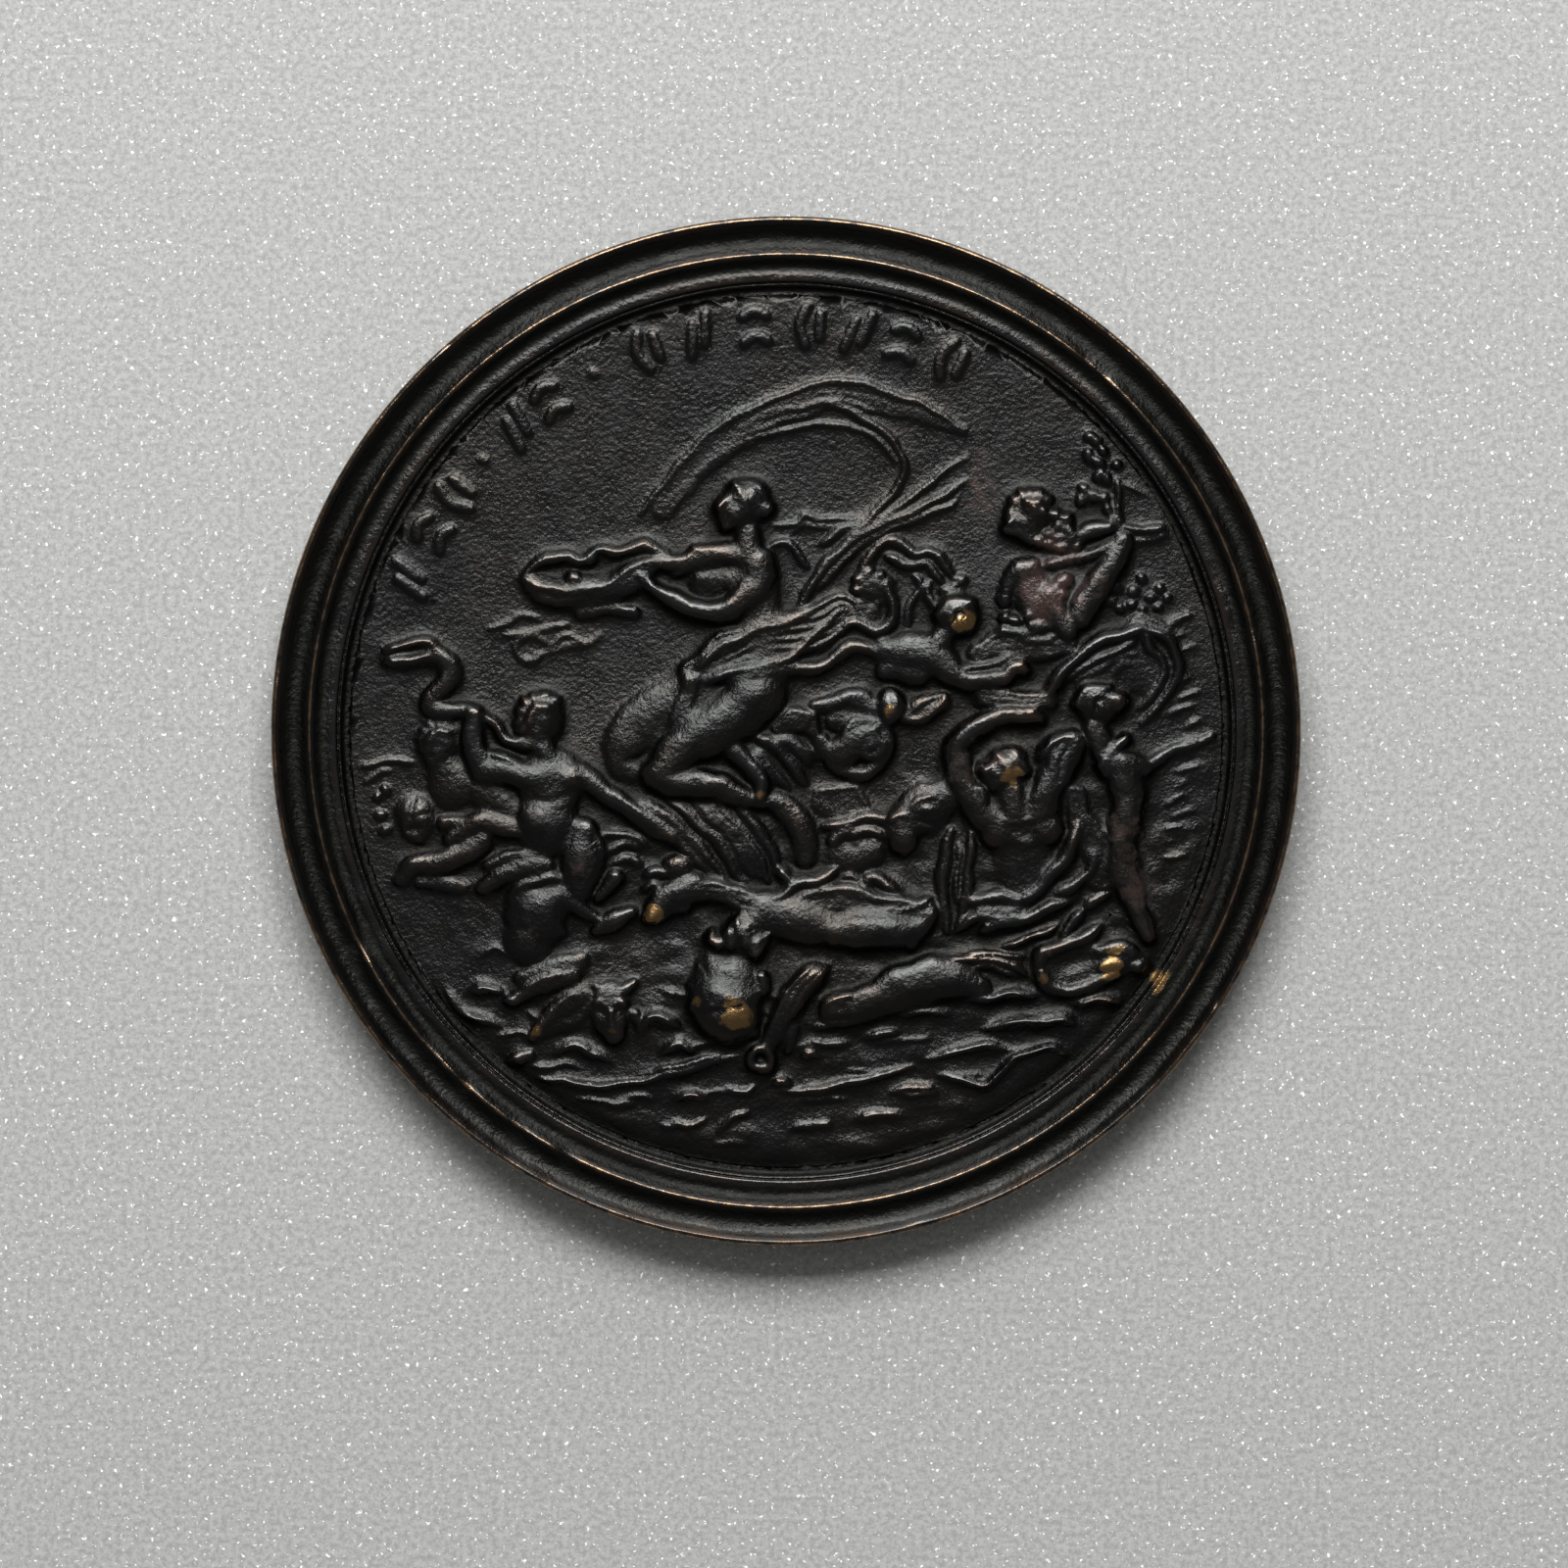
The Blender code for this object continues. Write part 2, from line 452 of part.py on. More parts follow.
def old_triton(relief):
    """Bearded triton with a straight horn at the lower middle, his arm over a dolphin's back."""
    relief.limb([(-1.6, -15.2), (1.0, -16.0), (3.6, -16.6)], (1.6, 2.0, 1.4), (2.3, 2.5, 2.2))
    relief.limb([(-3.6, -17.6), (-2.4, -15.6)], (1.3, 1.0), (2.6, 2.3))
    relief.cloth([(-7.6, -13.7), (-5.6, -13.5), (-3.4, -14.4), (-1.6, -14.6)], 1.3, 1.9, 2, 0.35)
    relief.finish()
    relief.limb([(2.6, -20.6), (0.8, -22.6), (-0.6, -24.6), (-1.9, -27.4)], (1.3, 1.15, 0.95, 0.9),
                (2.5, 2.3))
    relief.finish()
    relief.dome(-4.9, -20.9, 2.3, 3.3, -8, 3.2)
    relief.dome(-5.2, -23.3, 2.1, 1.6, 0, 3.3)
    relief.dome(-4.3, -22.8, 0.95, 0.85, 0, 3.6)
    relief.limb([(-6.8, -21.4), (-7.6, -22.9)], (0.5, 0.42), 3.1)
    relief.limb([(-5.0, -18.6), (-4.9, -16.6)], (0.6, 0.2), (3.0, 2.3))
    relief.limb([(-3.4, -18.4), (-2.8, -16.0)], (0.6, 0.2), (3.0, 2.3))
    relief.finish()
    relief.cloth([(0.4, -14.2), (4.8, -14.0), (8.6, -14.7), (12.0, -15.0)], 1.9, 2.0, 3, 0.4)
    relief.ridge([(-1.5, -14.4), (-0.2, -13.8), (0.8, -12.9), (2.6, -12.7), (4.2, -11.6)], 0.8, 2.1)
    relief.finish()
    relief.limb([(4.2, -17.1), (6.4, -16.9), (9.0, -16.9), (11.0, -16.8)], (1.1, 1.35, 1.3, 0.9),
                (2.6, 3.0, 3.0, 2.4))
    relief.limb([(10.6, -17.6), (12.2, -15.6)], (0.75, 0.6), 2.1)
    relief.limb([(4.6, -23.6), (7.6, -22.6), (11.0, -21.6), (14.2, -21.4), (16.4, -22.0)],
                (1.3, 1.4, 1.55, 1.4, 0.8), (2.4, 2.7, 3.0, 2.8, 2.0))
    relief.finish()


def reaching_man(relief):
    """Man behind the goddess, stretched to the right, with the small winged head and ribbons above him."""
    relief.ridge([(6.2, 12.6), (6.8, 14.4), (8.2, 15.9), (9.8, 15.8), (12.1, 15.2), (13.9, 13.4)],
                 0.8, 1.2)
    relief.dome(7.2, 12.4, 1.6, 1.4, 0, 1.5)
    relief.ridge([(10.8, 13.2), (11.4, 12.2), (10.6, 10.8), (10.2, 8.8)], 0.8, 1.0)
    relief.finish()
    relief.limb([(8.6, 6.8), (10.6, 6.6), (12.6, 6.2), (14.0, 4.9)], (1.3, 1.7, 1.5, 1.0),
                (1.7, 2.1, 2.3, 2.3))
    relief.limb([(8.6, 5.2), (11.4, 4.8)], 0.85, 1.6)
    relief.limb([(13.6, 5.0), (15.2, 4.2), (18.6, 4.6), (20.2, 5.2)], (0.9, 0.65, 0.55, 0.4), 2.3)
    relief.cloth([(16.2, 6.8), (19.2, 7.4), (24.2, 7.4)], (1.2, 2.2, 0.8), 1.5, 3, 0.4)
    relief.finish()
    relief.head(14.6, 9.6, 1.8, 10, 0.55, 2.9)
    relief.finish()


def child_and_dolphin(relief):
    """Small head, leaf and curled dolphin below the reaching man, and a leg and cloth under the goddess."""
    relief.cloth([(-0.6, 0.2), (0.6, 0.9), (2.2, 0.1)], (0.9, 1.7, 0.8), 1.6, 2, 0.35)
    relief.cloth([(-2.4, -0.8), (-0.6, -1.8), (1.4, -3.6)], (0.8, 1.6, 1.4), 1.5, 2, 0.35)
    relief.limb([(2.6, 2.2), (4.4, 2.4), (6.0, 2.6), (7.4, 2.0)], 0.8, 1.4)
    relief.finish()
    ring = [(6.4 + 2.6 * math.cos(math.radians(turn)), -0.9 + 2.4 * math.sin(math.radians(turn)))
            for turn in range(185, 420, 25)]
    relief.limb(ring, (0.45, 0.7), (1.5, 1.9))
    relief.limb([(4.6, -2.0), (5.4, -1.4), (6.6, -0.2)], (1.3, 0.8), 2.1)
    relief.dome(7.3, -1.3, 1.2, 1.2, 0, 2.3)
    relief.head(8.9, 2.0, 1.35, 5, -0.3, 2.5)
    relief.limb([(10.2, 1.0), (11.6, 2.1), (13.4, 3.0)], (0.3, 0.95, 0.2), 1.5)
    relief.finish()
    relief.limb([(-0.9, -6.0), (0.6, -7.2), (1.5, -8.8), (1.6, -10.8)], (0.9, 1.1, 1.0, 0.9),
                (1.6, 1.7, 1.7, 1.4))
    for i in range(4):
        along = i / 3
        relief.ridge([(-12.8 + 8.4 * along, -6.4), (-9.8 + 7.6 * along, -8.8),
                      (-6.8 + 5.8 * along, -12.2)], 1.1, 1.5)
    relief.finish()


def nereid(relief):
    """Nereid with both arms raised, and the folds of her cloth."""
    relief.limb([(19.6, -7.0), (20.0, -10.0), (20.4, -12.6)], (3.0, 2.6, 2.4), (1.8, 1.6, 1.2))
    relief.limb([(16.4, -6.6), (17.6, -8.0)], 1.1, 2.2)
    relief.dome(18.0, -8.8, 1.4, 1.3, 0, 2.9)
    relief.dome(21.7, -8.6, 1.35, 1.25, 0, 2.9)
    relief.limb([(19.0, -5.0), (19.4, -7.0)], 0.9, 2.3)
    relief.finish()
    relief.limb([(16.8, -7.4), (15.4, -5.4), (14.5, -3.2), (14.4, -1.1), (16.0, 0.2), (17.8, 1.1),
                 (21.3, 1.2)],
                (1.1, 0.9, 0.8, 0.75, 0.6, 0.5), (2.3, 2.5, 2.5, 2.3))
    relief.limb([(24.2, -1.0), (23.2, -3.0), (22.2, -5.0), (21.6, -6.8)], (1.1, 1.3, 1.25, 1.2),
                (2.2, 2.4, 2.5, 2.4))
    relief.head(18.9, -2.9, 1.9, -6, 0.35, 3.0)
    relief.finish()
    relief.ridge([(24.8, -7.6), (24.2, -9.6), (23.4, -11.1), (20.8, -13.9), (19.2, -14.9)], 1.1,
                 (1.9, 2.1, 1.8))
    relief.ridge([(26.2, -9.8), (25.8, -11.6), (24.4, -13.0), (22.8, -13.8)], 0.9, 1.7)
    relief.cloth([(14.7, -16.4), (18.4, -16.0), (20.4, -15.8), (23.7, -14.6)], 1.5, 2.1, 2, 0.4)
    relief.limb([(13.6, -10), (13.8, -13), (13.6, -17)], 0.7, 1.3)
    relief.cloth([(24.6, -5.4), (24.8, -7.4), (26.2, -9.2), (26.6, -12.6)], (1.0, 2.0, 1.6), 1.4, 2, 0.35)
    relief.finish()


def right_nereid(relief):
    """Nereid at the right edge with a scarf hooped over her head."""
    relief.limb([(28.8, -3.6), (28.9, -6.6), (28.4, -9.4), (28.7, -12.4), (29.8, -15.2), (30.7, -17.4)],
                (1.3, 1.2, 1.1, 1.1, 0.8, 0.5), (2.5, 2.4, 2.2))
    relief.limb([(27.2, -3.3), (28.6, -2.8), (30.4, -3.1)], (0.7, 0.95, 0.6), 2.5)
    relief.limb([(30.4, -3.0), (33.0, -1.6), (36.2, -0.4)], 0.4, (1.6, 0.7))
    relief.limb([(26.2, 0.2), (26.8, -1.6)], 0.9, 2.0)
    relief.head(26.6, 2.0, 1.95, 8, -0.35, 2.7)
    relief.finish()
    relief.cloth([(22.6, 3.6), (24.0, 5.2), (26.0, 6.6), (28.2, 7.6), (30.6, 7.8), (32.2, 6.6),
                  (32.8, 5.0)],
                 (1.6, 2.4, 2.4, 1.0), (1.7, 1.9, 1.7, 1.0), 3, 0.5)
    relief.cloth([(27.2, 4.4), (29.2, 3.6), (31.4, 2.8)], 4.4, 1.0, 4, 0.35)
    relief.finish()


def bearded_man(relief):
    """Man with curly hair and beard at the upper right, and the leafy stem that he holds."""
    relief.limb([(20.4, 12.8), (21.2, 11.0), (22.2, 9.4)], (1.7, 1.9, 1.6), 2.0)
    relief.dome(20.4, 13.5, 1.6, 1.2, 15, 2.2)
    relief.dome(18.6, 11.1, 0.65, 0.65, 0, 1.6)
    relief.limb([(28.6, 15.6), (27.4, 13.8), (26.2, 12.0), (24.8, 9.9)], (0.7, 0.95, 1.0, 0.8),
                (1.7, 2.2, 2.3, 2.1))
    relief.limb([(18.2, 8.4), (20.6, 9.2), (23.5, 8.6)], 0.6, 1.7)
    relief.finish()
    relief.head(20.9, 18.1, 1.75, 0, 0.5, 2.3)
    relief.limb([(21.4, 16.6), (22.8, 16.0), (24.8, 15.9)], (0.5, 0.8, 0.5), 2.0)
    relief.limb([(25.0, 16.5), (26.2, 17.0), (27.3, 17.2)], 0.55, 1.8)
    relief.limb([(26.2, 24.6), (26.9, 22.8), (26.6, 20.6), (27.4, 17.8)], (0.8, 0.7, 1.0, 0.5), 1.1)
    relief.limb([(28.0, 11.6), (30.0, 12.2), (31.6, 11.2)], 0.7, 0.8)
    relief.finish()


def lower_shell(relief):
    """Open shell lying at the lower right."""
    relief.ridge([(21.2, -19.9), (21.9, -18.8), (23.6, -18.1), (25.2, -17.6), (26.4, -16.6)], 0.8, 2.1)
    relief.ridge([(21.3, -19.8), (22.0, -21.3), (23.8, -22.1), (26.0, -21.3), (28.4, -20.4)], 1.0, 2.1)
    relief.limb([(26.4, -18.7), (27.8, -18.5), (29.2, -18.8)], 0.6, 1.9)
    relief.dome(27.6, -19.8, 1.2, 0.6, 10, 2.2)
    relief.limb([(29.8, -19.9), (31.4, -20.8)], 0.7, 1.9)
    relief.finish()


def strokes(relief):
    """Short raised strokes along the upper left rim, set like an inscription but none of them a letter."""
    band_radius = 34.4
    half = 1.65
    turns = (158, 150.7, 144.4, 131.5, 125.6, 110.1, 102.4, 94.4, 86.7, 79.7, 73.2, 66.1)
    for i, turn in enumerate(turns):
        out = (math.cos(math.radians(turn)), math.sin(math.radians(turn)))

        def place(up, aside):
            return (out[0] * (band_radius + up) - out[1] * aside,
                    out[1] * (band_radius + up) + out[0] * aside)

        if i % 3 == 0:
            pair = ([place(-half, 0.95), place(0.5 * half, 0.35)],
                    [place(-0.5 * half, -0.35), place(half, -0.95)])
        elif i % 3 == 1:
            pair = ([place(0.5 * half, 1.0), place(0.8 * half, 0), place(0.5 * half, -1.0)],
                    [place(-0.8 * half, 1.0), place(-0.5 * half, 0), place(-0.8 * half, -1.0)])
        else:
            pair = ([place(-half, 0.25), place(0, 0.85), place(half, 0.25)],
                    [place(-0.6 * half, -0.9), place(0.6 * half, -0.9)])
        for stroke in pair:
            relief.limb(stroke, 0.42, 0.55, 0.05)
    relief.finish(0.05)


def relief_sheet():
    """The open sheet of the relief's heights on a round outline, thinned to few faces."""
    radius = FIELD_RADIUS - FIELD_MARGIN
    bm = bmesh.new()
    bmesh.ops.create_grid(bm, x_segments=RELIEF_STEPS, y_segments=RELIEF_STEPS, size=1.0)
    flat = np.array([vert.co for vert in bm.verts])
    round_x = flat[:, 0] * np.sqrt(1 - 0.5 * flat[:, 1] ** 2)
    round_y = flat[:, 1] * np.sqrt(1 - 0.5 * flat[:, 0] ** 2)
    drawn = DRAWN_RADIUS * radius / FIELD_RADIUS
    relief = Relief(round_x * drawn, round_y * drawn)
    for draw in (sea, strokes, scarf, held_shell, right_nereid, bearded_man, child_and_dolphin, swimmers,
                 sea_beasts, nereid, lower_shell, goddess, young_triton, reaching_man, old_triton):
        draw(relief)
    lowest = relief.ground.min()
    fade = np.clip((1 - np.hypot(round_x, round_y)) / EDGE_FADE_SHARE, 0, 1)
    heights = FIELD_HEIGHT + (lowest + (relief.ground - lowest) * fade) * (RELIEF_HEIGHT / DRAWN_HEIGHT)
    for vert, x, y, z in zip(bm.verts, round_x, round_y, heights):
        vert.co = (x * radius, y * radius, z)
    mesh = bpy.data.meshes.new("fine_sheet")
    bm.to_mesh(mesh)
    bm.free()
    sheet = bpy.data.objects.new("fine_sheet", mesh)
    bpy.context.scene.collection.objects.link(sheet)
    thin = sheet.modifiers.new("fewer_faces", "DECIMATE")
    thin.ratio = RELIEF_KEPT_SHARE
    graph = bpy.context.evaluated_depsgraph_get()
    thinned = bpy.data.meshes.new_from_object(sheet.evaluated_get(graph))
    bpy.data.objects.remove(sheet, do_unlink=True)
    return thinned


def relief_slab(group, material):
    """The relief's sheet with a wall around it and a flat floor under it."""
    mesh = relief_sheet()
    bm = bmesh.new()
    bm.from_mesh(mesh)
    floor_height = min(vert.co.z for vert in bm.verts) - ROOT_DEPTH
    border = [edge for edge in bm.edges if edge.is_boundary]
    walls = bmesh.ops.extrude_edge_only(bm, edges=border)["geom"]
    for vert in walls:
        if isinstance(vert, bmesh.types.BMVert):
            vert.co.z = floor_height
    low_edges = [edge for edge in walls if isinstance(edge, bmesh.types.BMEdge)]
    floor = bmesh.ops.contextual_create(bm, geom=low_edges)["faces"]
    bmesh.ops.poke(bm, faces=floor)
    bmesh.ops.recalc_face_normals(bm, faces=bm.faces)
    bm.to_mesh(mesh)
    bm.free()
    mesh.materials.append(material)
    mesh.shade_smooth()
    slab = bpy.data.objects.new("relief_slab", mesh)
    group.objects.link(slab)
    slab.hide_render = True
    slab.display_type = "WIRE"
    return slab


def main():
    clear_scene()
    metal = bronze()
    pieces = new_collection("portrait_medal")
    helpers = new_collection("relief_helpers")
    medal = turned_disc(pieces, metal)
    slab = relief_slab(helpers, metal)
    join = medal.modifiers.new("relief", "BOOLEAN")
    join.operation = "UNION"
    join.solver = "EXACT"
    join.use_self = True
    join.object = slab


main()
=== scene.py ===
import math

import bmesh
import bpy
import numpy as np
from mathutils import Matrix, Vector


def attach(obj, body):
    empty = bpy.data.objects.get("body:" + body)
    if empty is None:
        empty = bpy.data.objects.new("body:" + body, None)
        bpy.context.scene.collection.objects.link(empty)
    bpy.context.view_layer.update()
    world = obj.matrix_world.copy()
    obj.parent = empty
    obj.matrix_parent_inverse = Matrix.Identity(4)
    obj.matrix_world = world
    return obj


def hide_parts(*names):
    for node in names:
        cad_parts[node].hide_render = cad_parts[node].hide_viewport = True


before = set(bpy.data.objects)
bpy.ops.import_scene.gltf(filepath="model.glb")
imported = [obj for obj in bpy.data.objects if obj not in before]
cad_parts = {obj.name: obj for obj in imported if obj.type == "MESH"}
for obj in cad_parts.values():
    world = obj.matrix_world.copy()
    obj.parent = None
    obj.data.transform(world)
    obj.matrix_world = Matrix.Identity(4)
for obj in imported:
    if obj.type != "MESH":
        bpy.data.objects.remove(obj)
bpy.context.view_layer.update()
print("frame loaded:", ", ".join(sorted(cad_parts)))

mm = 0.001
reliefForm = {
    "gridSteps": 470,       # squares along one side of the sheet that the relief is drawn on
    "mapSteps": 760,        # squares along one side of the map of its heights
    "mapSpan": 44,          # mm that the map reaches to each side
    "share": 0.56,          # of its height that each form stands over the ground close by
    "swellReach": 6,        # mm over which the ground swells under the crowd, which makes up the rest
    "eased": 0.6,           # how far each corner is eased
    "easeReach": 0.15,      # mm over which that is done
    "foot": 0.45,           # how far the foot of each form is filled
    "footReach": 0.5,       # mm over which that is done
    "lumps": 0.026,         # mm of hand work left on the figures
    "keptFaces": 122000,    # triangles left on it once the plain places are thinned
    "borderRadius": 37,     # mm, where the sheet meets the rim's step
    "borderFade": 1.1,      # mm over which the relief dies away inside that
    "fieldHeight": 2.9,     # mm over the surface that the medal lies on
    "drawnHeight": 3.6,     # the top of the highest head, in the units the figures are drawn in
    "height": 3.2,          # mm that this stands over the field
    "headroom": 0.005,      # mm that it keeps under that, so that it stays inside the solid
    "wander": 0.12,         # how far the hand's unsteadiness moves the strokes
    "unevenness": 0.009,    # mm of waves in the cast skin
    "standingReach": 0.8,   # mm of surroundings that a place is compared with to mark the wear
}
sheet = {}
emptyHeight = -9.0


def startSheet(x, y):
    sheet["x"], sheet["y"] = x, y
    sheet["ground"] = np.zeros_like(x)
    sheet["figure"] = np.full_like(x, emptyHeight)


def closeTo(xs, ys, reach):
    x, y = sheet["x"], sheet["y"]
    inside = (x > min(xs) - reach) & (x < max(xs) + reach)
    return np.nonzero(inside & (y > min(ys) - reach) & (y < max(ys) + reach))[0]


def softMax(low, high, blend):
    # the larger height, with the corner between the two filled
    gap = np.clip(blend - np.abs(low - high), 0, None)
    return np.maximum(low, high) + gap * gap / (4 * blend)


def lay(spots, height, blend):
    sheet["figure"][spots] = softMax(sheet["figure"][spots], height, blend)


def settle(blend=0.08):
    # the figure made so far is set on the ground, and the next one starts
    sheet["ground"] = softMax(sheet["ground"], sheet["figure"], blend)
    sheet["figure"][:] = emptyHeight


def murmur(x, y, size, seed):
    # smooth uneven waves of about that size
    total = np.zeros_like(x)
    for i in range(6):
        turn = seed * 1.7 + i * 2.39996
        pace = 2 * math.pi / (size * (0.72 + 0.11 * i))
        total += np.sin(pace * (x * math.cos(turn) + y * math.sin(turn)) + seed * 3.1 + i * 1.9)
    return total / 3


def spread(value, count):
    # one value for each point, from a number, its two ends or a full list
    if isinstance(value, (int, float)):
        return [float(value)] * count
    if len(value) == 2 and count > 2:
        return [value[0] + (value[1] - value[0]) * i / (count - 1) for i in range(count)]
    return list(value)


def smoothRun(points, values, steps=7):
    # a soft curve through the points, its values eased from each point to the next
    points, values = np.array(points, float), np.array(values, float)
    last = len(points) - 1
    if last == 1:
        steps = 2
    line, sizes = [], []
    for i in range(last):
        here, there = points[i], points[i + 1]
        before = points[i - 1] if i else 2 * here - there
        after = points[i + 2] if i + 2 <= last else 2 * there - here
        for step in range(steps):
            t = step / steps
            bend = 2 * before - 5 * here + 4 * there - after
            twist = 3 * here - before - 3 * there + after
            line.append(0.5 * (2 * here + (there - before) * t + bend * t * t + twist * t ** 3))
            sizes.append(values[i] + (values[i + 1] - values[i]) * t * t * (3 - 2 * t))
    return np.array(line + [points[last]]), np.array(sizes + [values[last]])


def follow(points, values, reach):
    # distance, side, share of the length and values at each place near a curve
    line, sizes = smoothRun(points, values)
    spots = closeTo(line[:, 0], line[:, 1], reach)
    x, y = sheet["x"][spots], sheet["y"][spots]
    away = np.full(x.shape, 1e9)
    side, share = np.zeros(x.shape), np.zeros(x.shape)
    found = np.zeros(x.shape + (sizes.shape[1],))
    for i in range(len(line) - 1):
        run = line[i + 1] - line[i]
        fromX, fromY = x - line[i, 0], y - line[i, 1]
        t = np.clip((fromX * run[0] + fromY * run[1]) / (run @ run + 1e-12), 0, 1)
        offX, offY = fromX - t * run[0], fromY - t * run[1]
        gap = np.hypot(offX, offY)
        closer = gap < away
        away = np.where(closer, gap, away)
        side = np.where(closer, np.sign(run[0] * offY - run[1] * offX), side)
        share = np.where(closer, (i + t) / (len(line) - 1), share)
        found = np.where(closer[:, None], sizes[i] + (sizes[i + 1] - sizes[i]) * t[:, None], found)
    return spots, away, side, share, found


def strokeAt(points, width, top, times, beyond):
    # what follow finds out to that many times the stroke's greatest width and so many mm beyond
    widths = spread(width, len(points))
    values = list(zip(widths, spread(top, len(points))))
    return follow(points, values, max(widths) * times + beyond)


def rounding(out, size):
    # the fall from the middle of a form to its edge, nearly a half circle
    out = np.clip(out, 0, 1)
    return size * (0.25 * out * out + 0.75 * (1 - np.sqrt(1 - 0.95 * out * out)))


def limb(points, radius, top, blend=0.25, slope=6, drop=None):
    # a rounded form along a curve, a little fuller between its points, with steep sides
    spots, away, side, share, found = strokeAt(points, radius, top, 1, 1.2)
    fuller = 1 + 0.1 * np.sin(math.pi * share * (len(points) - 1)) ** 2
    wide, high = found[:, 0] * fuller, found[:, 1]
    fall = 0.85 * np.minimum(wide, high) if drop is None else np.minimum(drop, high)
    lay(spots, high - rounding(away / wide, fall) - slope * np.clip(away - wide, 0, None), blend)


def turnedTo(x, y, spots, turn):
    angle = math.radians(turn)
    offX, offY = sheet["x"][spots] - x, sheet["y"][spots] - y
    return (offX * math.cos(angle) + offY * math.sin(angle), offY * math.cos(angle) - offX * math.sin(angle))


def dome(x, y, long, wide, turn, top, blend=0.25, slope=6, drop=None):
    reach = max(long, wide)
    spots = closeTo([x - reach, x + reach], [y - reach, y + reach], 1.2)
    u, v = turnedTo(x, y, spots, turn)
    out = np.hypot(u / long, v / wide)
    fall = 0.85 * min(long, wide, top) if drop is None else drop
    lay(spots, top - rounding(out, fall) - slope * np.clip(out - 1, 0, None) * min(long, wide), blend)


def dent(x, y, long, wide, turn, depth):
    reach = 2.2 * max(long, wide)
    spots = closeTo([x - reach, x + reach], [y - reach, y + reach], 0)
    u, v = turnedTo(x, y, spots, turn)
    sheet["figure"][spots] -= depth * np.exp(-((u / long) ** 2 + (v / wide) ** 2))


def groove(points, width, depth):
    spots, away, side, share, found = follow(points, [[1]] * len(points), width * 2)
    ends = np.clip(np.minimum(share, 1 - share) * 6, 0, 1)
    sheet["figure"][spots] -= 1.3 * depth * np.exp(-(away / (0.5 * width)) ** 2) * ends


def ridge(points, width, top, blend=0.08, slope=3.2):
    # a narrow fold that thins out at both ends
    spots, away, side, share, found = strokeAt(points, width, top, 1, 1)
    ends = np.clip(np.minimum(share, 1 - share) * 7, 0, 1) ** 0.6
    half = found[:, 0] * (0.28 + 0.22 * ends)
    sides = 0.7 * half * np.clip(away / half, 0, 1) ** 1.3 + slope * np.clip(away - half, 0, None)
    lay(spots, found[:, 1] * (0.72 + 0.28 * ends) - sides, blend)


def cloth(points, width, top, folds, depth, blend=0.1, slope=2.6, phase=0):
    # a band of cloth with folds running along it
    spots, away, side, share, found = strokeAt(points, width, top, 0.5, 1)
    half = found[:, 0] * 0.5
    across = np.clip(side * away / half, -1, 1) * 0.5 + 0.5
    sway = phase * np.sin(share * 9) * np.sin(math.pi * across)
    fold = np.abs(np.sin(math.pi * (folds * across + sway))) ** 0.8
    lay(spots, found[:, 1] - 0.85 * depth * fold - slope * np.clip(away - half, 0, None), blend)


def crest(points, width, top, blend=0.15):
    # a wave, long on the upper side and steep on the lower
    spots, away, side, share, found = strokeAt(points, width, top, 1.6, 0.5)
    high = 1.5 * found[:, 1] * (0.35 + 0.65 * np.sqrt(np.clip(np.minimum(share, 1 - share) * 4, 0.02, 1)))
    longSlope = high * np.exp(-(away / (0.6 * found[:, 0])) ** 1.2)
    lay(spots, np.where(side > 0, longSlope, high - 2.6 * away) - 0.02, blend)


def curl(x, y, startRadius, endRadius, turns, start, width, top, drop=None):
    count = int(turns * 10) + 3
    points = []
    for i in range(count):
        t = i / (count - 1)
        angle = math.radians(start) + turns * 2 * math.pi * t
        radius = startRadius + (endRadius - startRadius) * t
        points.append((x + radius * math.cos(angle), y + radius * math.sin(angle)))
    limb(points, spread(width, count), spread(top, count), blend=0.06, drop=drop)


def curls(spots, radius, top, blend=0.08):
    for i, (x, y) in enumerate(spots):
        size = radius * (1 + 0.18 * math.sin(i * 2.3))
        dome(x, y, size, size * 0.82, 40 * i, top, blend=blend, drop=size * 0.9)
        dent(x + 0.1 * size, y - 0.1 * size, size * 0.25, size * 0.25, 0, size * 0.35)


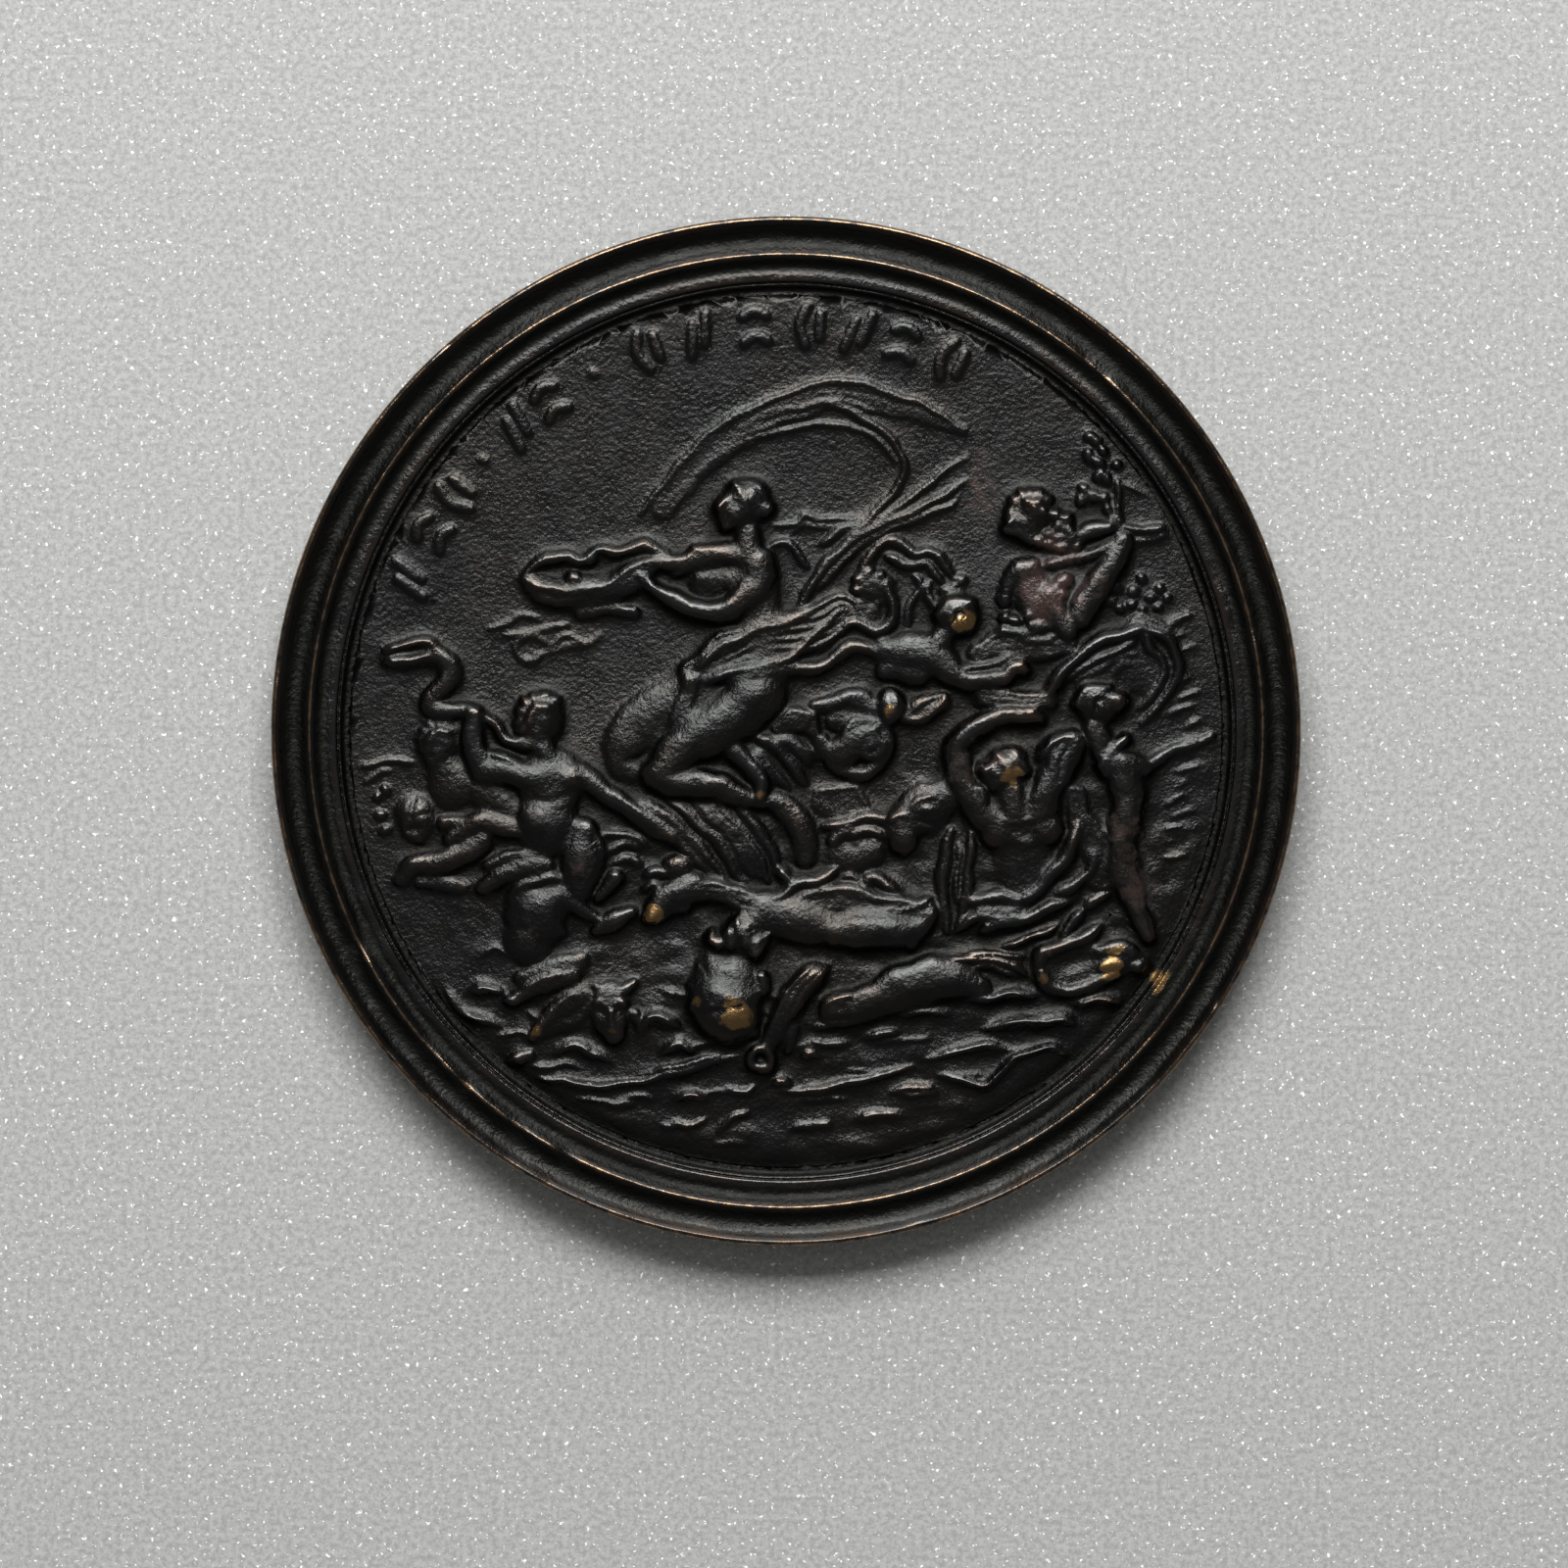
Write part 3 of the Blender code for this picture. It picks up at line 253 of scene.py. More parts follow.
def head(x, y, size, lean, look, top, hair="waves"):
    # look is -1 in left profile and 1 in right profile, lean is the crown's turn in degrees
    angle = math.radians(lean)

    def at(u, v):
        turnedU = u * math.cos(angle) - v * math.sin(angle)
        turnedV = u * math.sin(angle) + v * math.cos(angle)
        return (x + size * turnedU, y + size * turnedV)

    sense = 1 if look >= 0 else -1
    dome(*at(-0.12 * look, 0.14), size * 0.96, size * 0.94, lean, top, drop=size * 1.25)
    if hair == "behind":
        for i in range(4):
            side = -0.75 + 0.5 * i
            groove([at(0.25, 0.3), at(0.1 + 0.5 * side, 0.3 - 0.55 * abs(side)), at(0.9 * side, -0.35)],
                   size * 0.18, size * 0.22)
        limb([at(-0.75, 0.5), at(0, 0.82), at(0.75, 0.45)], size * 0.15, top - 0.3 * size, blend=0.1)
        return
    dome(*at(0.26 * look, -0.34), size * 0.7, size * 0.7, lean, top - 0.1 * size, drop=size * 0.6)
    limb([at(0.36 * look, -0.74), at(0.52 * look, -0.88)], size * 0.24, top - 0.3 * size, blend=0.15)
    limb([at(0.72 * look, 0.14), at(0.86 * look, -0.08), at(0.99 * look, -0.26)],
         [size * 0.09, size * 0.13, size * 0.17], [top - 0.2 * size, top - 0.05 * size, top], blend=0.1)
    for eye in (-1, 1):
        off = 0.46 * look + 0.34 * eye * (1 - 0.6 * abs(look))
        if abs(look) > 0.6 and eye == sense:
            continue
        dent(*at(off, 0), size * 0.18, size * 0.11, lean, size * 0.2)
    mouth, half = 0.62 * look, 0.2 * (1 - 0.4 * abs(look))
    groove([at(mouth - half, -0.52), at(mouth + half, -0.52)], size * 0.12, size * 0.15)
    if hair == "waves":
        limb([at(0.5 * look, 0.66), at(0.2 * look, 0.5), at(-0.1 * look, 0.12), at(-0.3 * look, -0.3)],
             size * 0.14, [top - 0.25 * size, top, top + 0.04 * size, top - 0.1 * size], blend=0.1)
        for i in range(3):
            groove([at(0.4 * look, 0.86 - 0.1 * i), at(-0.25 * look, 0.74 - 0.28 * i),
                    at(-0.85 * look, 0.3 - 0.3 * i)], size * 0.15, size * 0.18)
        dome(*at(-0.95 * look, 0), size * 0.34, size * 0.3, lean, top - 0.35 * size, blend=0.08)
    elif hair == "curly":
        ring = []
        for i in range(9):
            turn = math.radians(35 + 26 * i if sense < 0 else 145 - 26 * i)
            ring.append(at(0.9 * math.cos(turn), 0.2 + 0.84 * math.sin(turn)))
        curls(ring, size * 0.28, top - 0.3 * size)
        curls([at(sense * 0.1, 0.62), at(-sense * 0.35, 0.5), at(-sense * 0.6, 0.1), at(-sense * 0.2, 0.2)],
              size * 0.25, top + 0.15 * size)
    elif hair == "tufts":
        for reach, first, gap, count, raised in ((0.92, 45, 27, 7, -0.32), (0.5, 60, 42, 4, 0.12)):
            locks = []
            for i in range(count):
                turn = math.radians(first + gap * i if sense < 0 else 180 - first - gap * i)
                locks.append(at(reach * math.cos(turn), 0.2 + reach * math.sin(turn)))
            curls(locks, size * 0.25, top + raised * size, blend=0.03)


def water():
    x, y = sheet["x"], sheet["y"]
    # an uneven swell that grows towards the lower edge and dies away at the rim and on the left
    depth = np.clip((-17.5 - y - 0.08 * x) / 9, 0, 1)
    edge = np.clip((37.2 - np.sqrt(x * x + y * y)) / 1.8, 0, 1)
    left = np.clip((x + 29.0 + 0.5 * (y + 20)) / 4, 0, 1)
    swell = 0.34 * murmur(x * 0.36, y, 2.9, 3) + 0.12 * murmur(x * 0.4, y, 1.5, 4)
    sheet["ground"] = sheet["ground"] + depth * (0.55 + 0.5 * swell) * edge * left
    band = np.clip((-4.0 - y + 0.15 * x) / 4, 0, 1) * np.clip((x + 31 + 0.3 * (y + 10)) / 3, 0, 1) * edge
    rough = np.abs(murmur(x * 0.8, y * 1.2, 4.4, 5)) + 0.35 * murmur(x, y, 2.2, 6)
    sheet["ground"] = sheet["ground"] + band * 0.30 * rough * (1 - 0.6 * depth)
    # small crests scattered evenly, each step an odd share of the width
    for i in range(46):
        waveX = -30 + 60 * ((i * 0.7548777) % 1)
        waveY = -20.5 - 15.5 * ((i * 0.5698403) % 1)
        if math.hypot(waveX, waveY) > 35.6 or waveX < -29.5 - 0.5 * (waveY + 20):
            continue
        long = 1.1 + 1.5 * ((i * 0.381966) % 1)
        lean = 0.14 * waveX / 10 + 0.35 * math.sin(i * 2.1)
        rise = 0.28 * math.sin(i * 1.3)
        crest([(waveX - long, waveY - 0.5 * lean), (waveX - 0.3 * long, waveY + rise),
               (waveX + 0.4 * long, waveY + rise * 0.6 + 0.15), (waveX + long, waveY + 0.5 * lean)],
              0.6 + 0.5 * ((i * 0.618) % 1), 0.75 + 0.4 * ((i * 0.2361) % 1))
    settle(0.2)
    for points, width, top in (
        ([(-21, -29.2), (-16, -29.95), (-10, -29.1), (-3.7, -27.2)], 0.55, 1.5),
        ([(-12, -29), (-9, -28.3), (-5.3, -27.3)], 0.45, 1.5),
        ([(-9.5, -31.2), (-8, -30.7), (-6.6, -31.2)], 0.9, 1.6),
        ([(-9.8, -32.8), (-8, -33.4), (-6.6, -32.8)], 0.6, 1.1),
        ([(-6, -34), (-4.6, -32.8), (-3, -32.3)], 0.8, 1.2),
        ([(-5.4, -30.2), (-3.6, -30.6), (-2.4, -30.1)], 0.7, 1.2),
        ([(-1.2, -29.8), (-0.4, -29.5), (0.5, -29.8)], 0.8, 1.5),
        ([(-1, -30.4), (2, -30.5), (4.5, -29.9), (7, -29.4), (8.5, -28.8), (11, -28.5)], 0.8, 1.4),
        ([(5.8, -32.9), (7.5, -32.4), (10, -32.6)], 1, 1.3),
        ([(0, -33.9), (2.6, -33.2), (4, -33.5)], 0.9, 1.1),
        ([(8.6, -30.7), (10.8, -30.2), (12.8, -30.2)], 0.9, 1.2),
        ([(12.8, -29.2), (14.6, -29.4), (16.8, -30), (18.2, -28.8), (19.6, -27.5), (22.4, -26.8),
          (23.6, -27.3)], 0.8, 1.6),
        ([(11.5, -27.7), (14, -27.3), (16.2, -26.7), (18.8, -26.9)], 0.8, 1.4),
        ([(17, -25.2), (19, -24.7), (21, -24.6), (23.4, -24.4), (24.4, -24.8)], 0.9, 1.7),
        ([(15.4, -22.9), (17, -22.5), (19, -22.2), (21.2, -22.4)], 0.8, 1.6),
        ([(24.4, -23.2), (26.3, -22.7), (28.6, -23.2)], 0.8, 1.5),
        ([(9.6, -24.2), (11.6, -23.7), (13.8, -23.9)], 0.8, 1.3),
        ([(6.6, -26), (8.4, -25.4), (9.6, -25.6)], 0.8, 1.3),
        ([(1.8, -26.2), (3.4, -26.5), (5.4, -26.4)], 0.7, 1.1),
        ([(1.2, -27.8), (2, -27.2), (3, -27.6)], 0.8, 1.5),
        ([(2.3, -25.1), (4.2, -24.9), (6, -24.7)], 0.7, 1.2),
        ([(-26.6, -22.1), (-25.3, -21.7), (-23.8, -22.2)], 0.9, 1.3),
        ([(-28.8, -22.4), (-27.2, -24), (-24.2, -24.9)], 0.8, 1.2),
        ([(-24.4, -25.8), (-22.6, -25.5), (-21.4, -25.9)], 0.6, 0.9),
        ([(-19.8, -27.4), (-18.2, -26.6), (-16.4, -27.1), (-14.8, -28.2)], 1.1, 1.4),
        ([(-12.8, -25.4), (-10.9, -24.1), (-9, -25.2)], 1, 1.6),
        ([(-10.6, -27.5), (-9.1, -26.4), (-7.6, -27.2)], 1, 1.5),
        ([(-14, -31.2), (-12.4, -30.9), (-11, -31.3)], 0.7, 0.9),
        ([(-18, -31), (-15.6, -31.3), (-13.6, -31.9)], 0.7, 0.9),
        ([(-25.8, -19.2), (-24.6, -18.4), (-23.4, -19)], 0.6, 0.7),
        ([(14.8, -19), (17.4, -18.7), (20.2, -19.2)], 0.5, 1.4),
        ([(12.6, -19.5), (15.4, -19.2), (18.8, -19.6), (20.4, -20.6)], 0.6, 1.5),
        ([(15.5, -20.1), (17.2, -19.9), (19.4, -20.8)], 0.5, 1.2),
        ([(18, -18.1), (20.4, -17.6), (23, -16.3)], 0.6, 1.4),
    ):
        crest(points, width, top)
    settle(0.2)


def scarf():
    cloth([(-10.6, 18.8), (-7.4, 22.4), (-4.4, 25.2), (-1.6, 26.8), (2, 28), (5, 28.4), (8, 27.8), (12, 26.8),
           (15, 25.3)], [1.4, 2.2, 2.6, 2.4, 2.2, 2, 1.8, 1.4, 0.5], 0.5, 2, 0.22, phase=0.3)
    ridge([(-12.2, 18.4), (-10.2, 21.1), (-8.3, 23.5), (-5, 26.1), (0, 28.5), (4.4, 29.7), (9, 28.6),
           (13, 26.9), (15, 25.3)], 0.36, 0.72)
    ridge([(-5, 25), (-2, 26.5), (2.8, 27.7), (6, 26.8), (8.5, 25.1), (9.9, 23.2), (9.8, 21.4), (8.4, 19.2),
           (6.3, 17.2), (4, 15), (2.2, 12.6), (1, 10.6)], 0.44,
          [0.5, 0.6, 0.75, 0.85, 0.85, 0.85, 0.85, 0.9, 1, 1.05, 1.2, 1.2])
    ridge([(-9.8, 18.4), (-7.6, 21.4), (-5.6, 23.4), (-3, 24.7), (0, 25.4), (3.4, 26), (6.2, 25.6),
           (8.2, 24.2), (9.4, 22.6)], 0.36, 0.62)
    ridge([(-8.4, 19.6), (-6.6, 22.2), (-4.2, 23.8), (-2.4, 24.3)], 0.3, 0.45)
    ridge([(-4.6, 24.4), (-2.4, 25.6), (0.6, 26.5), (3, 27)], 0.3, 0.6)
    ridge([(2.8, 27.9), (5, 27.9), (7.4, 27)], 0.3, 0.7)
    ridge([(15.2, 23.2), (13, 21.6), (10, 19.3), (7.8, 17.7), (5.6, 16.3), (3.6, 14.6), (2, 12.6)], 0.4,
          [0.4, 0.65, 0.8, 0.9, 1, 1.1, 1.1])
    ridge([(15.3, 21.3), (12.8, 19.6), (10, 18.3), (7.2, 17.1), (4.8, 15.4), (2.6, 13), (1.4, 10.8)], 0.5,
          [0.5, 0.85, 1, 1.1, 1.2, 1.2, 1.2])
    ridge([(14.8, 20.2), (13.6, 18.9), (10, 17.6), (7, 16.2), (4.6, 14.1), (3, 12.2)], 0.42,
          [0.3, 0.65, 0.85, 0.95, 1, 1])
    ridge([(-0.8, 17.5), (0.8, 17.6), (1.5, 18.3), (3, 18), (5, 17.8), (6.8, 18.3), (8.4, 19.6)], 0.36, 0.6)
    ridge([(0.4, 16.7), (1.6, 17.5), (3.2, 17.3), (5, 17.2)], 0.32, 0.5)
    ridge([(-1.6, 15.6), (-0.2, 16), (0.8, 15.2), (1.8, 14)], 0.42, 0.9)
    ridge([(3, 15.8), (4.4, 16.8), (6.2, 17.6)], 0.35, 0.9)
    settle()


def heldShell():
    limb([(-21.4, 12.4), (-19, 11.8), (-16, 12), (-13.5, 12.6), (-11.4, 13.8)], [0.9, 1.3, 1.4, 1.1, 0.6],
         [1.5, 1.8, 1.9, 1.8, 1.5])
    groove([(-21, 13.3), (-18, 13.4), (-15, 13.9), (-11.5, 14.9)], 1.3, 0.9)
    ridge([(-22.2, 13.2), (-20.6, 14.5), (-18.6, 14.8), (-17.2, 14.3), (-16, 15.3), (-14, 15.1), (-12, 15.7),
           (-10.1, 15.1)], 0.55, 1.5)
    ridge([(-22.3, 13), (-21, 12.1), (-18.6, 11.9), (-16, 12.1), (-14, 13.2), (-12.4, 14.1), (-10.1, 15)],
          0.6, [1.6, 2, 2.1, 2.1, 2, 1.8, 1.6])
    ridge([(-21.8, 12), (-20, 11), (-17, 11.2), (-13.6, 11.8), (-12, 12.6)], 0.5, 1.7)
    limb([(-17.4, 10), (-15, 10.3), (-12.8, 10)], 0.45, 1.2)
    dome(-18, 12.75, 0.7, 0.7, 0, 1.9, blend=0.05)
    dome(-16.6, 14.5, 0.5, 0.6, 0, 1.5, blend=0.05)
    settle(0.06)
    for points in (
        [(-25.2, 8.8), (-23.6, 9.1), (-22.4, 9.8), (-20.8, 9.4)],
        [(-24, 8.1), (-22, 8.2), (-20, 8.8), (-18.4, 8.9)],
        [(-20, 7.2), (-18.6, 8), (-17, 7.3), (-15.8, 8.1)],
        [(-20.2, 6.6), (-18, 7.2), (-16.4, 7.4)],
    ):
        ridge(points, 0.5, 0.42)
    curl(-21.6, 6.7, 1.5, 0.8, 0.85, 40, 0.28, 0.45)
    settle(0.15)


def goddess():
    # far leg, then the drapery over the hip, then near leg and arms
    limb([(-7.5, 3), (-11, 1.6), (-13.6, -0.6)], [2.2, 2.1, 1.8], [1.2, 1.35, 1.3])
    limb([(-13.6, -0.8), (-14.2, -2.6), (-13, -3.6)], [1.7, 1.1, 0.8], [1.3, 1.1, 0.8])
    settle()
    limb([(-3.2, 13.2), (-2.2, 10), (-1.8, 7), (-2.5, 3.5)], [1.9, 1.9, 2, 2.3], [1.6, 1.5, 1.6, 2.2])
    limb([(-4.4, 15), (-6.6, 14.9), (-8.8, 14.2), (-11, 14.3)], [0.9, 0.8, 0.65, 0.5], [1.9, 1.7, 1.6, 1.7])
    limb([(-3.2, 16.6), (-3, 14.6)], [0.9, 1.1], [2.1, 2.2])
    dome(-6.3, 12.7, 1.9, 1.4, 20, 1.15, blend=0.5)
    dome(-6.9, 13.1, 0.8, 0.7, 0, 1.3, blend=0.5)
    dome(-4.7, 12.7, 0.9, 0.8, 0, 1.5, blend=0.5)
    ridge([(-9.4, 13.2), (-7.6, 14), (-5.6, 14.2)], 0.4, 1.35)
    limb([(-2, 14.4), (-4.2, 14.9), (-7.6, 15.2)], [0.9, 0.7, 0.4], [2.1, 2, 1.6])
    settle()
    cloth([(-7.8, 5), (-4.6, 6.8), (-1.4, 7.6), (2, 8.6), (4.8, 10.2)], [1.6, 3, 3.4, 3.2, 2.2],
          [1.9, 1.9, 1.8, 1.6, 1.3], 5, 0.9, phase=0.5)
    ridge([(-7.8, 4.8), (-6.6, 6.2), (-4.6, 7.6), (-2, 8.6), (0.6, 9.3), (2.8, 10.6)], 0.6,
          [2, 2.1, 2.1, 1.9, 1.7, 1.4])
    ridge([(-7, 4), (-5, 4.9), (-2.6, 5.4), (0, 6), (2, 7.6), (4.6, 10.3)], 0.55,
          [2.2, 2.3, 2.3, 2, 1.7, 1.4])
    ridge([(-4.6, 4.2), (-2.8, 4.8), (0, 5.2), (2.6, 5.3), (4.4, 6.4), (5.6, 7.1), (7.2, 6.8), (8.4, 6)], 0.8,
          [2.4, 2.3, 1.8, 1.6, 1.5, 1.5, 1.5, 1.2])
    ridge([(4.6, 8.3), (5.4, 9.1), (6.6, 8.9), (7.6, 8.5), (8.7, 9.1), (9.1, 10.4), (8.6, 11.8), (7.6, 12.6)],
          0.5, 1.5)
    for i in range(4):
        share = i / 3
        ridge([(-8 + 0.7 * share, 5), (-8.9 + 0.9 * share, 2.8), (-10 + 1.3 * share, 0.4 - 0.6 * share)],
              0.42, [2.1, 1.9, 1.9])
    settle()
    dome(-2.7, 2.9, 2.7, 2, 15, 2.75, drop=1.7)
    limb([(-2.6, 2.6), (-5.6, 0.6), (-8.6, -1.3), (-10.9, -3.7)], [2, 2.1, 1.75, 1.15], [2.5, 2.9, 2.9, 2.8])
    limb([(-10.9, -3.9), (-8.6, -4.5), (-6.4, -4.6), (-3.4, -5.7)], [1.1, 1.05, 1.2, 0.7],
         [2.7, 2.6, 2.6, 2.2])
    limb([(-3.4, -5.7), (-1.7, -6.2)], [0.6, 0.4], 1.9)
    limb([(-4.2, -1.9), (-3, -3), (-2, -4.4)], [0.85, 0.7, 0.6], [2, 2.2, 2.3])
    limb([(-2, -4.3), (-2.2, -5.6)], [0.55, 0.42], [2.5, 2.4])
    settle()
    limb([(-2.2, 14.2), (-2.4, 12.6), (-4.4, 10.6)], [1.25, 1.15, 0.9], [2.5, 2.6, 2.7])
    limb([(-4.6, 10.3), (-6.4, 10), (-8.8, 10.7), (-11.4, 12.2)], [0.85, 0.75, 0.62, 0.45],
         [2.7, 2.6, 2.4, 2.1])
    limb([(-11.4, 12.2), (-12.6, 13.2)], [0.5, 0.35], 2)
    settle()
    head(-3.6, 19.2, 2.15, -10, -0.9, 2.9, hair="waves")
    settle()


def youngTriton():
    limb([(-26.5, 1.8), (-28.2, 1.7), (-29.9, 1.9), (-30.1, 3), (-28.8, 4), (-28.3, 5.2), (-29.3, 6.4)],
         [0.5, 0.6, 0.7, 0.7, 0.75, 0.8, 0.9], [1.5, 1.5, 1.4, 1.4, 1.5, 1.5, 1.5])
    limb([(-29.6, 6.5), (-31.5, 6.4), (-33.2, 6.1)], [0.9, 0.85, 0.7], [1.4, 1.3, 1.2])
    groove([(-30.2, 6.9), (-32, 6.8), (-34.4, 6.2)], 0.7, 0.9)
    ridge([(-29.4, 6.9), (-30.6, 7.6), (-32.2, 7.3), (-34, 6.6)], 0.4, 1.5)
    ridge([(-30, 6.4), (-31.6, 6.1), (-34, 5.8)], 0.4, 1.6)
    settle(0.06)
    limb([(-26.2, 1.7), (-24.6, 0.5), (-23.4, -0.9), (-21.2, -1.2)], 0.36, [1.5, 1.6, 1.8, 1.9], blend=0.05)
    limb([(-17.4, -3.6), (-15.4, -5.2), (-13.6, -6.4), (-11.8, -7.8), (-9.6, -9.2)],
         [0.9, 0.8, 0.75, 0.7, 0.5], [1.8, 1.8, 1.8, 1.7, 1.3])
    settle(0.06)
    limb([(-20, -3.8), (-20, -6), (-20.2, -8.2)], [2.6, 2.3, 2.5], [2.2, 2.2, 2.4])
    dome(-20.6, -7.6, 1.9, 1.7, 0, 2.7)
    dome(-18.4, -3.9, 1.5, 1.3, 10, 2.4)
    dent(-20.6, -8.8, 0.25, 0.25, 0, 0.3)
    groove([(-22, -5.6), (-20, -5.9), (-18.2, -5.4)], 0.5, 0.25)
    limb([(-25.7, -3.4), (-23.4, -3.5), (-20.6, -4)], [0.85, 1, 1.2], [2.1, 2.3, 2.4])
    limb([(-26.5, 1.2), (-26.5, -1), (-25.8, -3.2)], [0.62, 0.8, 0.85], [2.2, 2.2, 2.1])
    dome(-26.4, 1.5, 0.75, 0.55, 10, 2.2)
    ridge([(-25.2, -2), (-23.2, -2.5), (-21.4, -3.4), (-20.2, -4)], 0.4, 2.1)
    settle()
    limb([(-20.6, -1.2), (-20, -2.6)], 0.9, 2)
    head(-20.7, 0.7, 1.9, 8, -0.85, 2.5, hair="tufts")
    settle()


def leftSwimmers():
    head(-29.3, -1.2, 1.7, -5, -0.6, 1.6, hair="tufts")
    limb([(-29, -3), (-28.2, -4.6)], [1.4, 1.9], [1, 1.1])
    settle()
    ridge([(-36, -3), (-34, -2.6), (-31.8, -2.7)], 0.5, 0.6)
    ridge([(-35.6, -4.4), (-34.6, -3.6), (-33.4, -3.4)], 0.4, 0.5)
    limb([(-26, -4.9), (-24.6, -5.8), (-23.6, -6.6)], [1.2, 1.3, 1.2], [1.3, 1.2, 1])
    settle(0.1)
    head(-31.4, -7.2, 2, 4, 0.25, 1.6, hair="waves")
    groove([(-32.1, -8.3), (-30.9, -8.3)], 0.6, 0.5)
    curls([(-34.3, -7.1), (-34, -8.5), (-34.6, -5.6), (-33.9, -4.9)], 0.45, 0.9)
    limb([(-29, -7.8), (-27.6, -7.6)], 0.5, 1.2)
    settle()
    limb([(-28.4, -9.2), (-26.2, -7.8), (-24.6, -7.9), (-22.4, -8.4)], [0.6, 0.85, 0.8, 0.6],
         [1.4, 1.7, 1.7, 1.5])
    settle()
    limb([(-32.6, -12.6), (-31.4, -11.4), (-29.4, -11.2), (-27.4, -10.5), (-25.6, -9.4)],
         [0.5, 0.75, 0.85, 0.9, 0.8], [1.1, 1.7, 1.8, 1.8, 1.5])
    limb([(-31, -12.9), (-29.4, -12.8), (-27.4, -13.3)], [0.5, 0.6, 0.5], 1)
    settle()
    limb([(-25.6, -13.2), (-24, -12.3), (-22.2, -11.6), (-20.4, -11.4)], [0.6, 0.75, 0.8, 0.7],
         [1.5, 1.8, 1.9, 1.8])
    limb([(-25.2, -11.3), (-22.8, -10.5), (-20.4, -10.7)], 0.4, 1.4)
    settle()
    limb([(-17, -8.6), (-17.3, -11), (-17.6, -13.4)], [1.1, 1.75, 1.1], [2.2, 2.7, 2.1])
    ridge([(-16.2, -8.2), (-15.6, -10.2), (-15.8, -12)], 0.35, 1.8)
    settle()
    limb([(-19.6, -14.2), (-20.8, -15.4), (-21.8, -17.8)], [1.8, 2.7, 2.1], [2.2, 2.6, 2], drop=2)
    ridge([(-23.4, -14.2), (-22, -13), (-20, -12.4), (-18.8, -12.9)], 0.6, [1.6, 2, 2.1, 1.8])
    groove([(-22.8, -16.4), (-21.4, -17.4), (-20.4, -18.6)], 0.4, 0.25)
    limb([(-19.4, -14), (-17.6, -14.9), (-16, -15.9)], [0.7, 0.6, 0.4], [2, 1.8, 1.4])
    settle()
    limb([(-15.8, -13.9), (-14.4, -12.5)], [0.4, 0.65], [1.7, 2.1])
    limb([(-16, -17), (-14.4, -16), (-13.2, -15.4)], [0.35, 0.75, 0.5], [1.6, 2, 1.8])
    settle()
    for points in (
        [(-15, -10.2), (-13.6, -9.6), (-12.4, -9.9)],
        [(-14.6, -11.2), (-13.4, -10.8), (-12.2, -11.2)],
        [(-15.6, -8.6), (-13.6, -8.8), (-11.6, -9.6)],
    ):
        ridge(points, 0.5, 1.1)
    settle(0.1)


def lowBeasts():
    # dolphin snouts in the lower left
    limb([(-17.6, -19.6), (-20.4, -20.3), (-22.4, -20.9)], [1, 0.8, 0.5], [1.5, 1.6, 1.5])
    limb([(-18, -20.6), (-20.6, -21.4), (-23.2, -22.8)], [0.7, 0.75, 0.5], [1.9, 2, 2])
    ridge([(-18.4, -20.4), (-20.4, -21), (-22.4, -22)], 0.4, 2.2)
    dome(-23.1, -22.8, 0.6, 0.42, 10, 2.2)
    settle()
    limb([(-17.4, -22.4), (-19.4, -23.6), (-20.9, -25.3)], [1.1, 0.95, 0.45], [1.7, 1.9, 2.1])
    limb([(-17.4, -24.4), (-19.2, -24.9), (-20.6, -25.6)], [0.6, 0.5, 0.4], [1.3, 1.4, 1.5])
    dome(-21.3, -25.8, 0.5, 0.35, 35, 1.9)
    dent(-18.8, -23.3, 0.3, 0.22, 20, 0.3)
    ridge([(-17.6, -22.2), (-19, -22.9), (-20.4, -24.2)], 0.35, 2.1)
    settle()
    limb([(-23.4, -28.2), (-21.8, -27.4)], [0.42, 0.5], [1.9, 1.6])
    settle()
    # sea beast with a golden nose, facing down left
    dome(-9.2, -11.5, 1.15, 1, 0, 1.9)
    limb([(-7.8, -13.2), (-9.6, -13.9), (-11.3, -15.3)], [1.1, 1.1, 0.7], [2.2, 2.3, 2.3])
    dome(-11.5, -15.6, 0.62, 0.55, 30, 2.5)
    ridge([(-12, -12.2), (-11, -11.9), (-9.8, -12.2)], 0.4, 1.6)
    ridge([(-12, -13.4), (-11.3, -13), (-10.6, -13.3)], 0.35, 1.6)
    limb([(-10.9, -16), (-9.6, -15), (-8.6, -14.9)], [0.35, 0.4, 0.4], 1.7)
    dent(-9.4, -13, 0.3, 0.25, 0, 0.4)
    settle()
    # beast mask seen from the front
    limb([(-15, -22.6), (-14.9, -24.4), (-14.6, -25.8)], [1.55, 1.35, 0.8], [2.1, 2.4, 2.6])
    for side in (-1, 1):
        dent(-14.9 + 0.65 * side, -23.7, 0.42, 0.3, 10 * side, 0.5)
        ridge([(-14.9 + 0.25 * side, -23.2), (-14.9 + 0.9 * side, -22.9), (-14.9 + 1.4 * side, -23.4)],
              0.4, 2.4)
        limb([(-14.9 + 0.7 * side, -22.3), (-14.6 + 1.7 * side, -21.4)], [0.55, 0.3], [2, 1.5])
    limb([(-16.4, -23.2), (-17.4, -24.2)], [0.5, 0.3], [1.6, 1.3])
    limb([(-12.9, -24), (-12.2, -25.4)], [0.45, 0.3], [1.7, 1.3])
    ridge([(-14.8, -23.2), (-14.7, -25.6)], 0.5, 2.75)
    settle()


